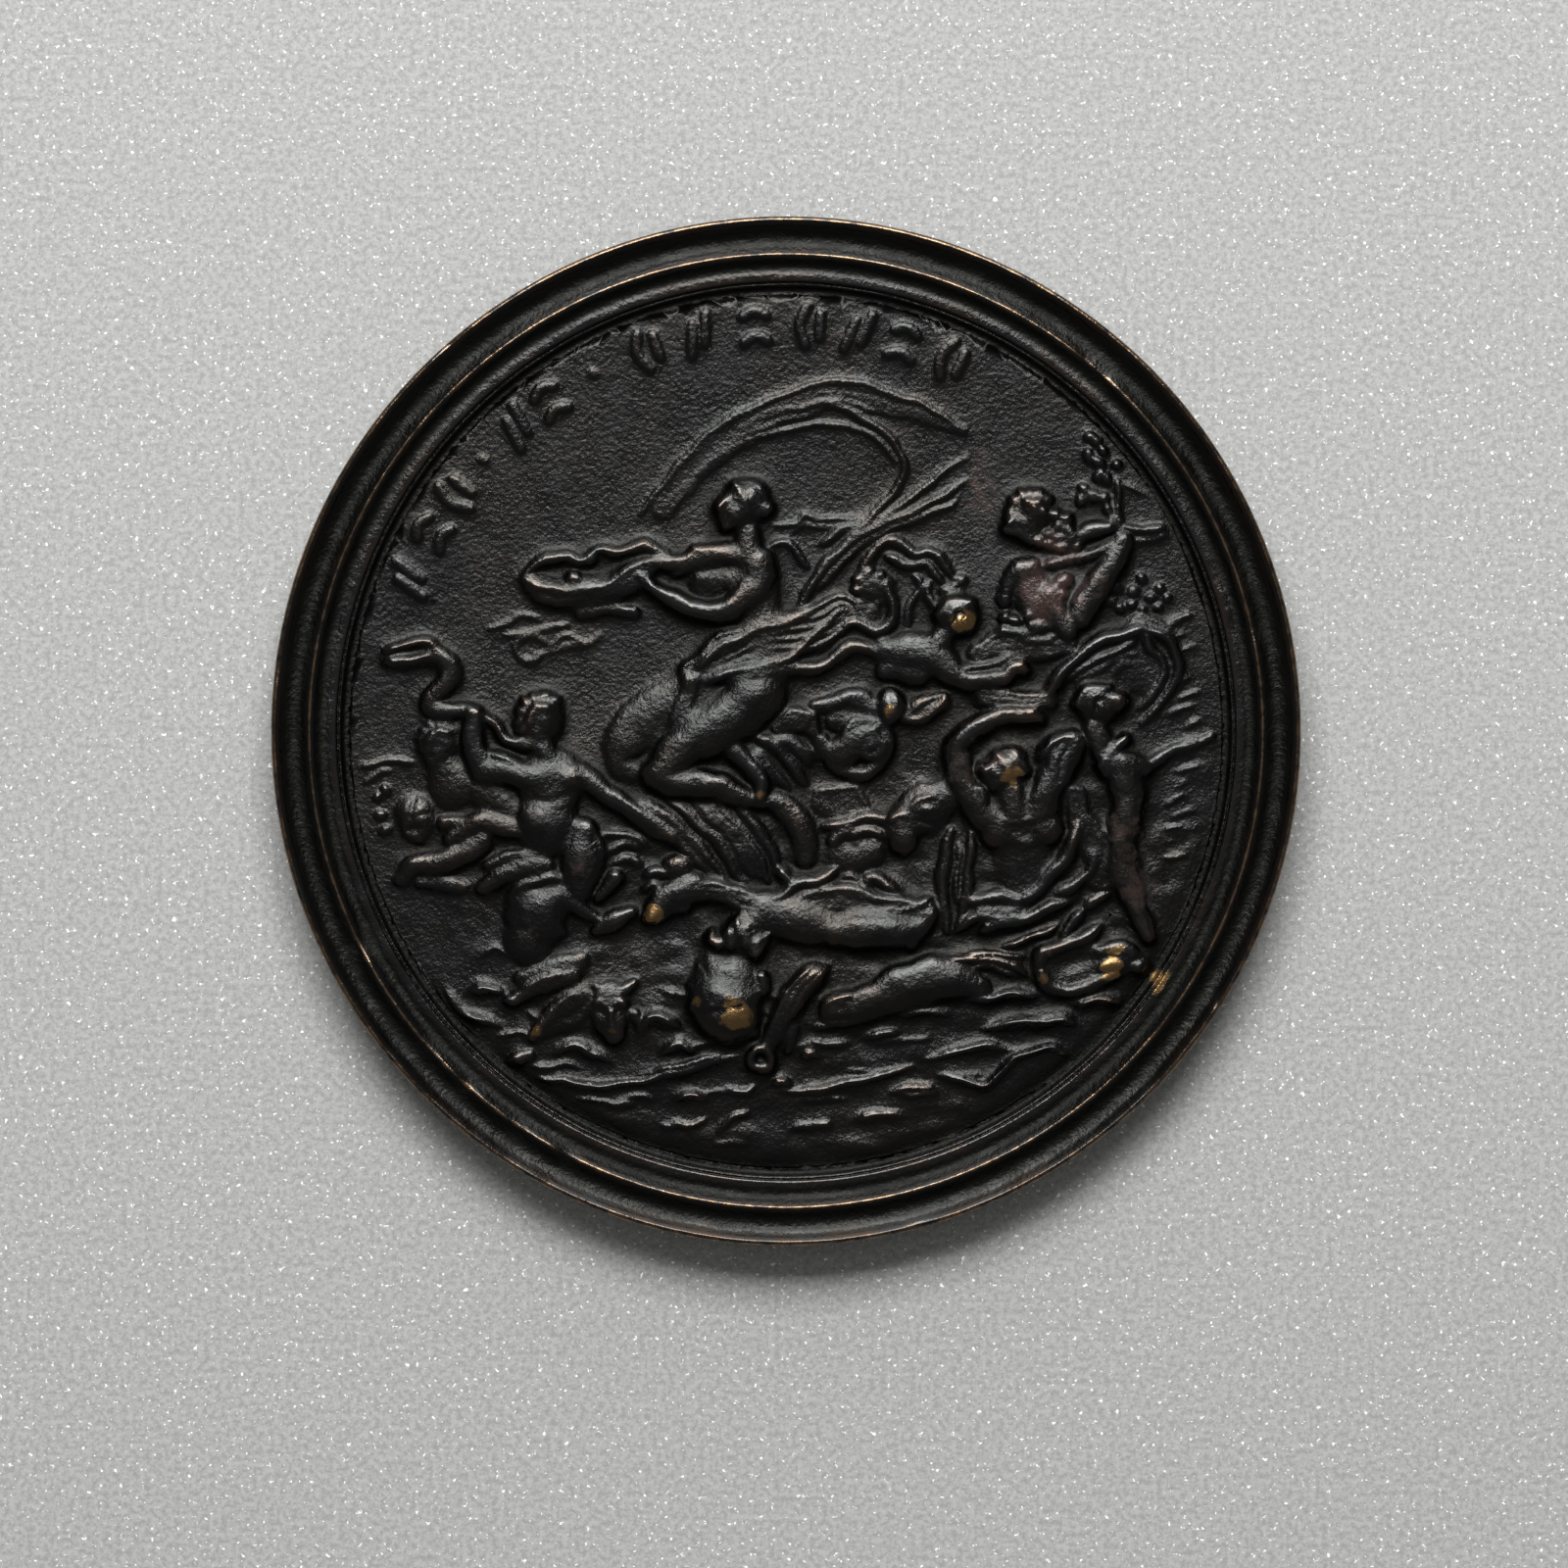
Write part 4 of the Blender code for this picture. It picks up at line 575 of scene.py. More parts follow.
def oldTriton():
    limb([(-1.6, -15.2), (1, -16), (3.6, -16.6)], [1.6, 2, 1.4], [2.3, 2.5, 2.2])
    limb([(-3.6, -17.6), (-2.4, -15.6)], [1.3, 1], [2.6, 2.3])
    cloth([(-7.6, -13.7), (-5.6, -13.5), (-3.4, -14.4), (-1.6, -14.6)], [0.9, 1.2, 1.2, 0.6], 1.9, 2, 0.35)
    settle(0.1)
    limb([(2.4, -20.8), (0.8, -22.6), (-0.6, -24.6), (-1.6, -26.6)], [0.9, 0.85, 0.8, 0.7],
         [2.1, 2.3, 2.3, 2.2])
    for off in (-0.55, 0, 0.55):
        ridge([(2.8 + off, -20 - 0.4 * off), (0.5 + off * 0.9, -22.6 - 0.6 * off),
               (-1.3 + off * 0.7, -26.2 - 0.3 * off)], 0.35, [2.5, 2.6, 2.4])
    groove([(1.4, -19.6), (-0.6, -22.2), (-1.9, -24.8)], 0.4, 0.5)
    curl(-2.1, -27.8, 0.85, 0.85, 1, 0, 0.33, 2.5)
    dent(-2.1, -27.8, 0.5, 0.5, 0, 1.2)
    limb([(0.6, -25.2), (0.2, -27)], [0.5, 0.3], 1.6)
    settle(0.06)
    # head bent down: a large smooth crown, leaves above it, brow and beard below
    limb([(-4.5, -18.6), (-4.9, -20.6), (-5.1, -22.5), (-5, -23.6)], [2.2, 2.8, 3.1, 2.7],
         [1.5, 2.8, 4.1, 4.2])
    groove([(-8, -23), (-6.6, -23.6), (-4.8, -23.5), (-2.9, -23)], 0.5, 0.25)
    limb([(-4.9, -23), (-4.6, -24), (-4.3, -24.8)], [0.3, 0.45, 0.5], 3, blend=0.25)
    for side in (-1, 1):
        dent(-4.6 + 1.1 * side, -23.9, 0.5, 0.3, 0, 0.3)
    limb([(-2, -20.8), (-1.8, -22)], [0.45, 0.35], [2.3, 2.2], blend=0.1)
    limb([(-6.4, -25.2), (-4.9, -25.9), (-3, -25.3)], [0.6, 0.8, 0.6], [2.2, 2.3, 2.1], blend=0.3)
    groove([(-5.8, -25), (-4.6, -25.5), (-3.2, -25.1)], 0.35, 0.3)
    for start, end in (
        ((-8.2, -19.4), (-7.6, -21.8)), ((-7.4, -18.2), (-6.4, -20.8)), ((-6, -17.6), (-4.6, -19.6)),
    ):
        groove([start, ((start[0] + end[0]) / 2 - 0.3, (start[1] + end[1]) / 2), end], 0.35, 0.22)
    for root, tip in (
        ((-4.6, -18), (-4.6, -16.2)), ((-3.4, -18), (-2.6, -15.6)), ((-5.7, -17.9), (-6.2, -16.9)),
        ((-2.7, -18.8), (-1.5, -17.2)), ((-4, -17.2), (-3.6, -15.4)),
    ):
        middle = ((root[0] + tip[0]) / 2 - 0.25, (root[1] + tip[1]) / 2)
        limb([root, middle, tip], [0.42, 0.5, 0.14], [3.2, 3.1, 2.4], blend=0.05)
        groove([root, tip], 0.22, 0.25)
    settle()
    # arm lying over the dolphin, and the big dolphin back
    limb([(4.2, -17.1), (6.4, -16.9), (9, -16.9), (11, -16.8)], [1.1, 1.35, 1.3, 0.9], [2.6, 3, 3, 2.4])
    limb([(10.6, -17.6), (12.2, -15.6)], [0.75, 0.6], [2.2, 2])
    settle(0.06)
    ridge([(4, -16), (6, -15.3), (10.4, -15.1), (12, -14.2)], 0.5, 2)
    ridge([(0.4, -14.5), (2.6, -13.6), (5.4, -13.5), (8.6, -14.4), (11.4, -14.6)], 0.7, 2)
    cloth([(1.4, -14.4), (4.8, -14.2), (8.6, -14.8), (12, -15.2)], [1.2, 1.5, 1.4, 1], 1.8, 3, 0.3)
    ridge([(-1.5, -14.4), (-0.2, -13.8), (0.8, -12.9), (2.6, -12.7), (4.2, -11.6)], 0.6, 2.1)
    ridge([(-0.6, -11.6), (0.4, -12.7), (1.6, -12.9)], 0.5, 1.9)
    ridge([(4.6, -12.6), (5.4, -12.3), (6.4, -12.9)], 0.4, 1.4)
    ridge([(6.8, -13.3), (7.2, -12.3), (8.4, -12.8), (9.6, -13.8)], 0.5, 1.6)
    settle(0.1)
    limb([(4.8, -24), (7.6, -22.8), (10.6, -21.5), (13.6, -21), (16.4, -21.8)], [1.1, 1.5, 1.9, 1.7, 0.9],
         [2.2, 2.6, 3, 2.8, 2])
    dome(4.4, -23.6, 1.5, 1.2, 20, 2.5)
    ridge([(3, -23.4), (4.2, -22.6), (5.8, -22.4)], 0.4, 2.5)
    groove([(2.6, -24.3), (4.2, -24.4), (5.8, -24.2)], 0.35, 0.5)
    dent(4.6, -23.4, 0.3, 0.25, 0, 0.5)
    settle(0.06)


def reachingMan():
    limb([(8.6, 6.8), (10.6, 6.6), (12.6, 6.2), (14, 4.9)], [1.3, 1.7, 1.5, 1], [1.7, 2.1, 2.3, 2.3])
    limb([(8.6, 5.2), (11.4, 4.8)], [0.9, 0.8], [1.5, 1.6])
    limb([(13.6, 5), (15.2, 4.2), (17.2, 4.3), (18.6, 4.6)], [0.9, 0.7, 0.6, 0.55], [2.3, 2.2, 2.2, 2.3])
    limb([(18.6, 4.6), (19.4, 5.4), (20.2, 5.2)], [0.5, 0.5, 0.35], 2.3)
    settle()
    limb([(13.2, 7.8), (12.4, 6.8)], 1, 2.2)
    head(14.5, 9.5, 1.95, 20, 0, 3.1, hair="behind")
    settle()
    cloth([(16.2, 6.6), (17.6, 7.2), (19.2, 7.2), (21, 6.8), (24.2, 7.2)], [1, 1.5, 1.5, 1.2, 0.6], 1.4, 3,
          0.45, phase=0.3)
    ridge([(14.5, 5.2), (16, 5.5), (18, 5.7), (19.2, 6.5)], 0.4, 1.7)
    ridge([(17, 8), (19.2, 8.2), (21.8, 7.6), (23.6, 8.4)], 0.5, 1.4)
    settle()


def windRibbons():
    ridge([(6.2, 12.6), (6.8, 14.4), (8.2, 15.9), (9.8, 15.8), (10.9, 14.9), (12.1, 15.2), (13.2, 14.5),
           (13.9, 13.4)], 0.55, 1.2)
    ridge([(8.6, 14.8), (9.4, 14.6), (10.4, 14), (11.8, 14.2), (12.6, 13.4), (13.2, 12.6)], 0.5, 1.1)
    ridge([(6, 12.2), (7.4, 12.9), (9, 12.6)], 0.6, 1.2)
    ridge([(14, 13), (15, 12.7), (13.2, 11.9), (14.9, 11.9)], 0.4, 0.9)
    ridge([(10.8, 13.2), (11.4, 12.2), (10.6, 10.8), (10.2, 8.8)], 0.5, 0.9)
    ridge([(12.2, 12.6), (12, 11.4), (12.6, 10.6)], 0.5, 1)
    dome(7.2, 12.2, 1.25, 1.15, 0, 1.4)
    curls([(6.2, 12.9), (7, 13.3), (8, 13.1), (8.5, 12.2), (5.9, 12)], 0.42, 1.5)
    dent(7, 12, 0.2, 0.15, 0, 0.2)
    dent(7.6, 12, 0.2, 0.15, 0, 0.2)
    settle()
    limb([(6.4, 10.9), (7, 9.8), (7.9, 11)], [0.5, 0.9, 0.4], 0.9)
    settle()


def childAndDolphin():
    cloth([(-0.6, 0.2), (0.6, 0.9), (1.6, 0.7), (2.2, 0.1)], [0.8, 1.6, 1.5, 0.6], [1.2, 1.6, 1.6, 1.2],
          3, 0.35)
    for i in range(4):
        share = i / 3
        ridge([(-0.9 + 0.9 * share, -0.7 + 0.3 * share), (0.7 + 0.6 * share, -1.4 + 0.2 * share),
               (1.7 + 0.5 * share, -2.6 + 0.6 * share)], 0.4, 1.4)
    ridge([(2.4, 1.8), (2.6, 0), (2.75, -2.2)], 0.4, 1.3)
    ridge([(-2.4, -0.6), (-1, -1.3), (0.4, -2.8), (1.6, -4.4)], 0.7, [1.6, 1.6, 1.4, 1.1])
    ridge([(-2.6, -1.4), (-1.4, -3), (0.2, -4.8)], 0.7, [1.3, 1.3, 1])
    settle()
    limb([(2.6, 2.2), (4.4, 2.4), (6, 2.6), (7.4, 2)], [0.6, 0.8, 0.9, 0.7], [1.2, 1.4, 1.5, 1.4])
    limb([(4.2, 0.8), (5.6, 1), (7, 1.2)], [0.8, 1, 0.7], 1.1)
    dent(4.8, 1.9, 0.5, 0.25, 0, 0.4)
    settle()
    curl(6.4, -0.9, 3.3, 1.3, 1, 175, 0.45, [1.4, 1.9], drop=0.35)
    limb([(4.6, -2), (5.4, -1.4), (6.6, -0.2), (7.4, 0.3)], [1.3, 1.2, 0.8, 0.4], [2, 2.2, 2.1, 1.8])
    curl(7.4, -1.3, 1.2, 0.35, 1.3, 90, 0.36, 2.2)
    dome(7.2, -1.3, 0.45, 0.45, 0, 2.4)
    settle()
    head(8.9, 2, 1.35, 5, -0.3, 2.5, hair="waves")
    settle()
    limb([(10.2, 1), (11.6, 2.1), (13.4, 3)], [0.3, 0.95, 0.2], [1.3, 1.5, 1.1])
    groove([(10.2, 0.9), (11.6, 1.9), (13.4, 2.9)], 0.3, 0.4)
    ridge([(10, 0.8), (11.6, 1.1), (12.8, 1.8), (13.5, 2.9)], 0.35, 1.6)
    settle()
    limb([(-0.9, -6), (0.6, -7.2), (1.5, -8.8), (1.6, -10.8)], [0.9, 1.1, 1, 0.9], [1.6, 1.7, 1.7, 1.4])
    ridge([(2.4, -5.2), (4.4, -4.9), (6, -4.8), (7, -6.9)], 0.5, 0.9)
    limb([(3.4, -6), (5.6, -6.1)], 1.2, 0.7, drop=0.3)
    settle()
    # folds that fan out over the water from the goddess's foot
    for i in range(9):
        share = i / 8
        sway = 0.35 * math.sin(i * 2.6)
        ridge([(-13.6 + 9.2 * share + 0.8 * sway, -5.8 - 0.5 * share),
               (-11 + 8.2 * share, -7.6 - 0.6 * share + sway),
               (-8.6 + 7.2 * share + sway, -9.8 - 0.5 * share),
               (-6.4 + 5.6 * share, -12.2 - 0.3 * share + 1.5 * sway)], 0.55 + 0.2 * math.sin(i * 1.7),
              [1.3, 1.5 + 0.3 * sway, 1.5 - 0.4 * sway, 1.1])
    limb([(-13.2, -6.4), (-11.6, -7.6), (-9.7, -9)], [0.5, 0.6, 0.4], 1.9)
    settle(0.1)


def seaBeast():
    limb([(13.4, -5.6), (11.6, -6.6), (9.8, -8)], [1.6, 1.9, 1.5], [1.6, 2, 2.1])
    dome(9.9, -9, 1.1, 1.5, 10, 2.2)
    dome(11.9, -6.6, 0.55, 0.42, 0, 2.4, blend=0.04)
    ridge([(10.4, -6.8), (11.2, -5.8), (12.6, -5.4)], 0.4, 2.2)
    ridge([(8.6, -7.7), (9.4, -7.2), (10.6, -7.2)], 0.5, 2.3)
    groove([(10.6, -7.6), (12.4, -7.9), (13.4, -7.2)], 0.4, 0.4)
    ridge([(3, -8.2), (5, -7.8), (7.5, -7.3), (8.6, -7.5)], 0.55, 1.6)
    limb([(3.9, -9.4), (4.6, -8.7), (5.6, -8.3)], 0.4, 1.6)
    ridge([(5.3, -9.1), (6.4, -8.5), (7.4, -8.4), (8.2, -8.9)], 0.5, 1.7)
    limb([(4.4, -10.4), (5.8, -10.6), (7.4, -10.2)], [1.2, 1.4, 1.2], 1.3)
    limb([(13.9, -8.4), (13.5, -10.4), (13.2, -13), (13.7, -16.8)], [0.3, 0.42, 0.45, 0.3],
         [0.9, 1.2, 1.3, 1], blend=0.06)
    limb([(15.7, -8.6), (15.5, -11), (15.3, -13.4), (14.6, -16)], [0.25, 0.4, 0.35, 0.25], [1, 1.4, 1.4, 1.1],
         blend=0.06)
    ridge([(14.7, -9.6), (14.4, -12), (14.5, -14.4)], 0.3, 1.1)
    settle()


def nereid():
    limb([(19.6, -7), (20, -10), (20.4, -12.6)], [3, 2.6, 2.4], [1.8, 1.6, 1.2])
    limb([(16.4, -6.6), (17.6, -8)], [1, 1.2], [2.2, 2.2])
    dome(17.9, -8.7, 1.35, 1.15, 10, 2.3, drop=0.7)
    dome(22, -8.4, 1.25, 1.1, -10, 2.3, drop=0.7)
    ridge([(17.4, -7.4), (19.4, -7.8), (20.6, -7.4), (22.6, -7.2)], 0.6, 2.2)
    limb([(19, -9), (20.2, -9.4), (21.4, -9)], 0.5, 1.9)
    limb([(19, -5), (19.4, -7)], 0.9, 2.3)
    settle()
    limb([(14.3, -1.2), (14.5, -3.2), (15.4, -5.4), (16.8, -7.4)], [0.75, 0.85, 0.95, 1.1],
         [2.4, 2.5, 2.5, 2.3])
    limb([(14.4, -1.1), (16, 0.2), (17.8, 1.1), (19.4, 1.4)], [0.75, 0.75, 0.62, 0.5], [2.5, 2.6, 2.5, 2.4])
    limb([(19.2, 1.4), (20.6, 1.3), (21.3, 1.1)], [0.55, 0.65, 0.4], [2.4, 2.3, 2.1])
    limb([(24.2, -1), (23.2, -3), (22.2, -5), (21.6, -6.8)], [1.1, 1.3, 1.25, 1.2], [2.2, 2.4, 2.5, 2.4])
    ridge([(21.5, -2.2), (22.6, -1), (24, -0.3)], 0.5, 2.2)
    groove([(24.4, -0.6), (23.4, -2.4), (22.8, -4.6)], 0.4, 0.3)
    settle()
    cloth([(16.8, 2.8), (18.6, 2.6), (20.4, 2.4), (22.4, 2.5)], [0.9, 1.4, 1.1, 0.5], 1.6, 2, 0.35)
    settle()
    head(18.5, -3.2, 1.8, -8, -0.85, 3, hair="waves")
    limb([(16.6, -3.2), (17.4, -3.6), (17.6, -4.6)], [0.4, 0.45, 0.3], 2.4)
    limb([(16.4, -5), (16.6, -6)], 0.35, 2.4)
    settle()


def nereidCloth():
    ridge([(24.8, -7.6), (24.2, -9.6), (23.4, -11.1), (22, -12.6), (20.8, -13.9), (19.2, -14.9)], 0.8,
          [1.9, 2.1, 2.1, 2, 1.9, 1.7])
    ridge([(26.2, -9.8), (25.8, -11.6), (24.4, -13), (22.8, -13.8)], 0.7, [1.5, 1.7, 1.7, 1.6])
    ridge([(14.7, -16.6), (16, -15.8), (18.4, -15.8), (20.4, -15.8), (22.2, -15), (23.7, -14.4)], 0.6, 2)
    ridge([(16.6, -17), (17.6, -16.4), (19.6, -16.1), (21.4, -15.5)], 0.55, 2.1)
    ridge([(15.2, -14.2), (16.6, -14.3), (18.4, -14.1), (20.2, -14.6)], 0.9, 1.7)
    ridge([(15.8, -15.2), (18, -15.2), (20.4, -15.2)], 0.5, 1.7)
    cloth([(24.6, -5.4), (24.8, -7.4), (26.2, -9.2), (26.6, -12.6)], [1, 1.6, 2, 1.6], 1.3, 3, 0.4, phase=0.4)
    ridge([(23.2, -17.6), (24.2, -16.4), (24.9, -15.3)], 0.5, 1.6)
    ridge([(25.2, -14.9), (26.4, -14.2), (27.2, -13.8)], 0.5, 1.4)
    settle()


def rightNereid():
    limb([(28.8, -3.6), (28.9, -6.6), (28.4, -9.4), (28.7, -12.4), (29.8, -15.2)], [1.3, 1.2, 1.1, 1.1, 0.8],
         [2.5, 2.5, 2.4, 2.3, 2])
    limb([(29.8, -15.2), (30.7, -17.4)], [0.75, 0.5], [2, 2.2])
    limb([(27.2, -3.3), (28.6, -2.8), (30.4, -3.1)], [0.7, 0.95, 0.6], [2.3, 2.6, 2.3])
    limb([(26.6, -2.9), (27.4, -1.9), (28.6, -0.7)], [0.4, 0.4, 0.35], [2.4, 2.3, 2.1], blend=0.05)
    limb([(30.4, -3), (33, -1.6), (36.2, -0.4)], [0.45, 0.35, 0.3], [1.6, 1, 0.7])
    limb([(26.2, 0.2), (26.8, -1.6)], 0.9, 2)
    settle()
    head(26.4, 2.1, 2, 30, 0, 2.8, hair="behind")
    dome(28, 2.5, 0.75, 0.7, 0, 2.7, blend=0.08)
    settle()
    limb([(25.6, 4.8), (28, 5.6), (30.4, 5)], [1.4, 2.2, 2], 0.7, drop=0.5)
    ridge([(21.9, 2.6), (23.2, 4.8), (25.2, 6.7), (27.2, 7.8), (29.2, 8.4), (30.5, 8.6)], 0.55,
          [1.7, 1.9, 2, 2, 2, 2])
    ridge([(30.4, 8.6), (32, 8), (33, 6.8), (33.2, 5), (32.4, 3.3), (31.2, 1.8), (30.2, 0.6)], 0.42,
          [1.9, 1.6, 1.4, 1.3, 1.2, 1.1, 0.8])
    ridge([(30.4, 8.4), (30.8, 7), (31.8, 6.2), (32, 4.8), (31, 3.2), (29.9, 1.9)], 0.45,
          [1.9, 1.5, 1.3, 1.2, 1.1, 0.9])
    ridge([(24, 4.4), (26, 5.8), (27.8, 6.6), (29.4, 7.6)], 0.4, [1.2, 1.4, 1.5, 1.6])
    ridge([(24.6, 4.1), (26.6, 5.3), (28.4, 6.2), (29.8, 6.6)], 0.3, 1.1)
    ridge([(27.2, 4.4), (28.4, 5.6), (29.8, 5.8)], 0.5, [0.9, 1.2, 1])
    ridge([(28.9, 9.1), (30, 9.7), (31.6, 9.2), (32.6, 8.4)], 0.35, 0.9)
    ridge([(29, 8.9), (30.2, 9.2), (31.4, 8.7)], 0.3, 1)
    ridge([(32.4, 9), (33.4, 9.6), (34.2, 9.9)], 0.45, 0.7)
    settle()
    for i in range(16):
        y = 8.0 - 1.25 * i
        x = 34.3 - 0.17 * abs(y) + 0.5 * math.sin(i * 2.2)
        long = 0.8 + 0.35 * math.sin(i * 1.7)
        crest([(x - long, y - 0.3 + 0.2 * math.sin(i)), (x, y + 0.1), (x + long, y + 0.25)], 0.45,
              0.5 + 0.15 * math.sin(i * 3.1))
    settle(0.15)


def beardedMan():
    limb([(20.6, 12.6), (21.4, 11), (22.4, 9.6)], [1.5, 1.7, 1.3], [1.5, 1.6, 1.4], blend=0.5)
    dome(20.2, 13.6, 1.4, 1, 25, 1.8, blend=0.4)
    dome(18.4, 11.1, 0.65, 0.65, 0, 1.3)
    dome(23.4, 12.6, 0.8, 0.6, 20, 1.6)
    groove([(21.6, 13), (21.4, 11.4), (22, 10)], 0.5, 0.2)
    limb([(19.2, 13.2), (18.6, 11.9)], [0.7, 0.5], [1.5, 1.2])
    settle()
    ridge([(22, 14.1), (23.8, 14.4), (26.4, 15.2), (28.4, 16.2)], 0.6, 1.5)
    limb([(28.6, 16), (27.4, 13.8), (26.2, 12), (24.8, 9.7)], [0.8, 1, 1.1, 0.9], [1.7, 2.1, 2.2, 2.1])
    limb([(22.2, 11.4), (23, 9.6), (23.9, 8.4)], [1.1, 0.9, 0.7], [2, 2, 2.1])
    settle()
    head(20.7, 18.2, 1.85, 4, -0.9, 2.4, hair="curly")
    curls([(22.8, 18.3), (23.7, 17.9), (22.9, 17.4), (23.8, 17.1), (22.2, 16.7), (23.1, 16.4), (24.1, 16.3),
           (21.4, 16), (22.4, 15.7), (23.5, 15.5), (24.6, 15.6)], 0.5, 2.1)
    limb([(18.7, 17), (19.6, 16.8), (20.6, 16.2)], [0.35, 0.4, 0.4], 2)
    settle()
    limb([(25, 16.5), (26.2, 17), (27.3, 17.2)], [0.5, 0.6, 0.5], [1.7, 1.9, 1.7])
    curls([(25.7, 24.9), (26.4, 24.5), (27, 23.7), (25.6, 23.3), (26.4, 22.7), (28, 22.6), (26.5, 21.6),
           (27.2, 21.3), (25.3, 20.4), (26, 19.9), (26.9, 19.8), (25, 19.6), (27.2, 18.9), (27.6, 18),
           (27.8, 17.2)], 0.5, 1.1)
    ridge([(28.2, 21.2), (29.6, 20.4), (31.2, 19.6), (32.2, 17.6)], 0.5, 0.5)
    ridge([(28.4, 17.3), (30.2, 17), (32.4, 17.4)], 0.6, 0.9)
    ridge([(28.5, 15.9), (30.4, 16.1), (32.6, 16.8)], 0.5, 0.6)
    ridge([(28.1, 21.4), (28.2, 18.6), (28.3, 16.6)], 0.35, 0.9)
    settle(0.1)
    curls([(19.4, 9.3), (20.6, 9.8), (20.7, 8.9), (21.4, 8.8), (18.5, 8.4), (23.5, 8.5), (23.4, 11.4),
           (18.6, 9.6)], 0.45, 1.8)
    limb([(18.2, 8.2), (20, 8.4), (21.8, 8.6)], 0.35, 1.5)
    settle()
    curls([(28.1, 12), (29.4, 11.9), (30.1, 13), (31.6, 12), (30.9, 11.3), (31.5, 10.5), (29.2, 10.8),
           (28.2, 10.4), (30.2, 10.3), (27.6, 11), (32.2, 11.2)], 0.42, 0.9)
    settle(0.1)


def lowerShell():
    limb([(22.2, -20.2), (24.8, -19.9), (27.4, -19.2), (29.6, -19.6)], [1.5, 1.9, 1.5, 1],
         [1.2, 1.4, 1.6, 1.4])
    dent(24.3, -19.6, 1.7, 0.8, 12, 0.9)
    ridge([(21.2, -19.9), (21.9, -18.8), (23.6, -18.1), (25.2, -17.6), (26.4, -16.6)], 0.6,
          [2.2, 2.2, 2.1, 2, 1.8])
    ridge([(21.3, -19.8), (22, -21.3), (23.8, -22.1), (26, -21.3), (28.4, -20.4)], 0.8, [2.2, 2.1, 2, 2, 2.1])
    limb([(26.4, -18.7), (27.8, -18.5), (29.2, -18.8)], [0.5, 0.7, 0.5], [1.7, 2, 1.8])
    dome(27.6, -19.8, 1.2, 0.55, 10, 2.2)
    limb([(29.8, -19.9), (31.4, -20.8)], [0.6, 0.9], [1.9, 2])
    settle()


inscriptionForm = {
    "radius": 34.4,         # mm from the medal's middle to the middle of the row
    "height": 3.3,          # mm that a mark takes up along the radius
    "width": 0.76,          # mm across a stroke
    "lift": 0.62,           # its height and the fall to its edges, in the units the figures are drawn in
    "fall": 0.18,
    "marks": (158, 150.7, 144.4, 131.5, 125.6, 110.1, 102.4, 94.4, 86.7, 79.7, 73.2, 66.1),     # degrees
    "dots": (138.1, 118.4),
    "dotLift": 0.45,
}


def inscriptionStrokes():
    # short raised strokes standing where the inscription runs; none is a letter
    middle, half = inscriptionForm["radius"], 0.5 * inscriptionForm["height"]
    for i, turn in enumerate(inscriptionForm["marks"]):
        angle = math.radians(turn)

        def at(out, along):
            radius = middle + out
            return (math.cos(angle) * radius - math.sin(angle) * along,
                    math.sin(angle) * radius + math.cos(angle) * along)

        strokes = (
            ([at(-half, 0.95), at(half * 0.55, 0.35)], [at(-half * 0.55, -0.35), at(half, -0.95)]),
            ([at(half * 0.5, 1), at(half * 0.8, 0), at(half * 0.5, -1)],
             [at(-half * 0.8, 1), at(-half * 0.5, 0), at(-half * 0.8, -1)]),
            ([at(-half, 0.25), at(0, 0.85), at(half, 0.25)], [at(-half * 0.6, -0.9), at(half * 0.6, -0.9)]),
        )
        for points in strokes[i % 3]:
            limb(points, inscriptionForm["width"] * 0.5, inscriptionForm["lift"], blend=0.04,
                 drop=inscriptionForm["fall"])
    for turn in inscriptionForm["dots"]:
        angle = math.radians(turn)
        dome(middle * math.cos(angle), middle * math.sin(angle), 0.5, 0.42, turn, inscriptionForm["dotLift"],
             blend=0.04)
    settle(0.04)


def drawRelief(x, y):
    # heights in mm over the field at places in mm from the medal's middle
    startSheet(x.copy(), y.copy())
    inscriptionStrokes()
    wander = reliefForm["wander"]
    sheet["x"] = x + wander * (murmur(x, y, 3.1, 7) + 0.2 * murmur(x, y, 1.1, 8))
    sheet["y"] = y + wander * (murmur(x, y, 3.4, 9) + 0.2 * murmur(x, y, 1.2, 10))
    for figure in (water, scarf, windRibbons, heldShell, rightNereid, beardedMan, childAndDolphin,
                   leftSwimmers, lowBeasts, seaBeast, nereidCloth, lowerShell, goddess, youngTriton,
                   reachingMan, nereid, oldTriton):
        figure()
    return sheet["ground"] * reliefForm["height"] / reliefForm["drawnHeight"]


def sampled(grid, x, y):
    # bilinear reading of a square grid that reaches mapSpan to each side
    span, count = reliefForm["mapSpan"], grid.shape[0] - 1
    across = np.clip((x + span) / (2 * span) * count, 0, count - 1e-6)
    up = np.clip((y + span) / (2 * span) * count, 0, count - 1e-6)
    column, row = across.astype(int), up.astype(int)
    shareX, shareY = across - column, up - row
    low = grid[row, column] * (1 - shareX) + grid[row, column + 1] * shareX
    high = grid[row + 1, column] * (1 - shareX) + grid[row + 1, column + 1] * shareX
    return low * (1 - shareY) + high * shareY


def blurred(grid, reach):
    # averaged over about that many mm to each side, twice, so that no square edge shows
    cells = max(1, round(reach * grid.shape[0] / (2 * reliefForm["mapSpan"])))
    for axis in (0, 1, 0, 1):
        margins = [(cells + 1, cells) if axis == side else (0, 0) for side in (0, 1)]
        padded = np.pad(grid, margins, mode="edge")
        total = np.cumsum(padded, axis=axis)
        count = total.shape[axis]
        upper = np.take(total, range(2 * cells + 1, count), axis=axis)
        lower = np.take(total, range(0, count - 2 * cells - 1), axis=axis)
        grid = (upper - lower) / (2 * cells + 1)
    return grid


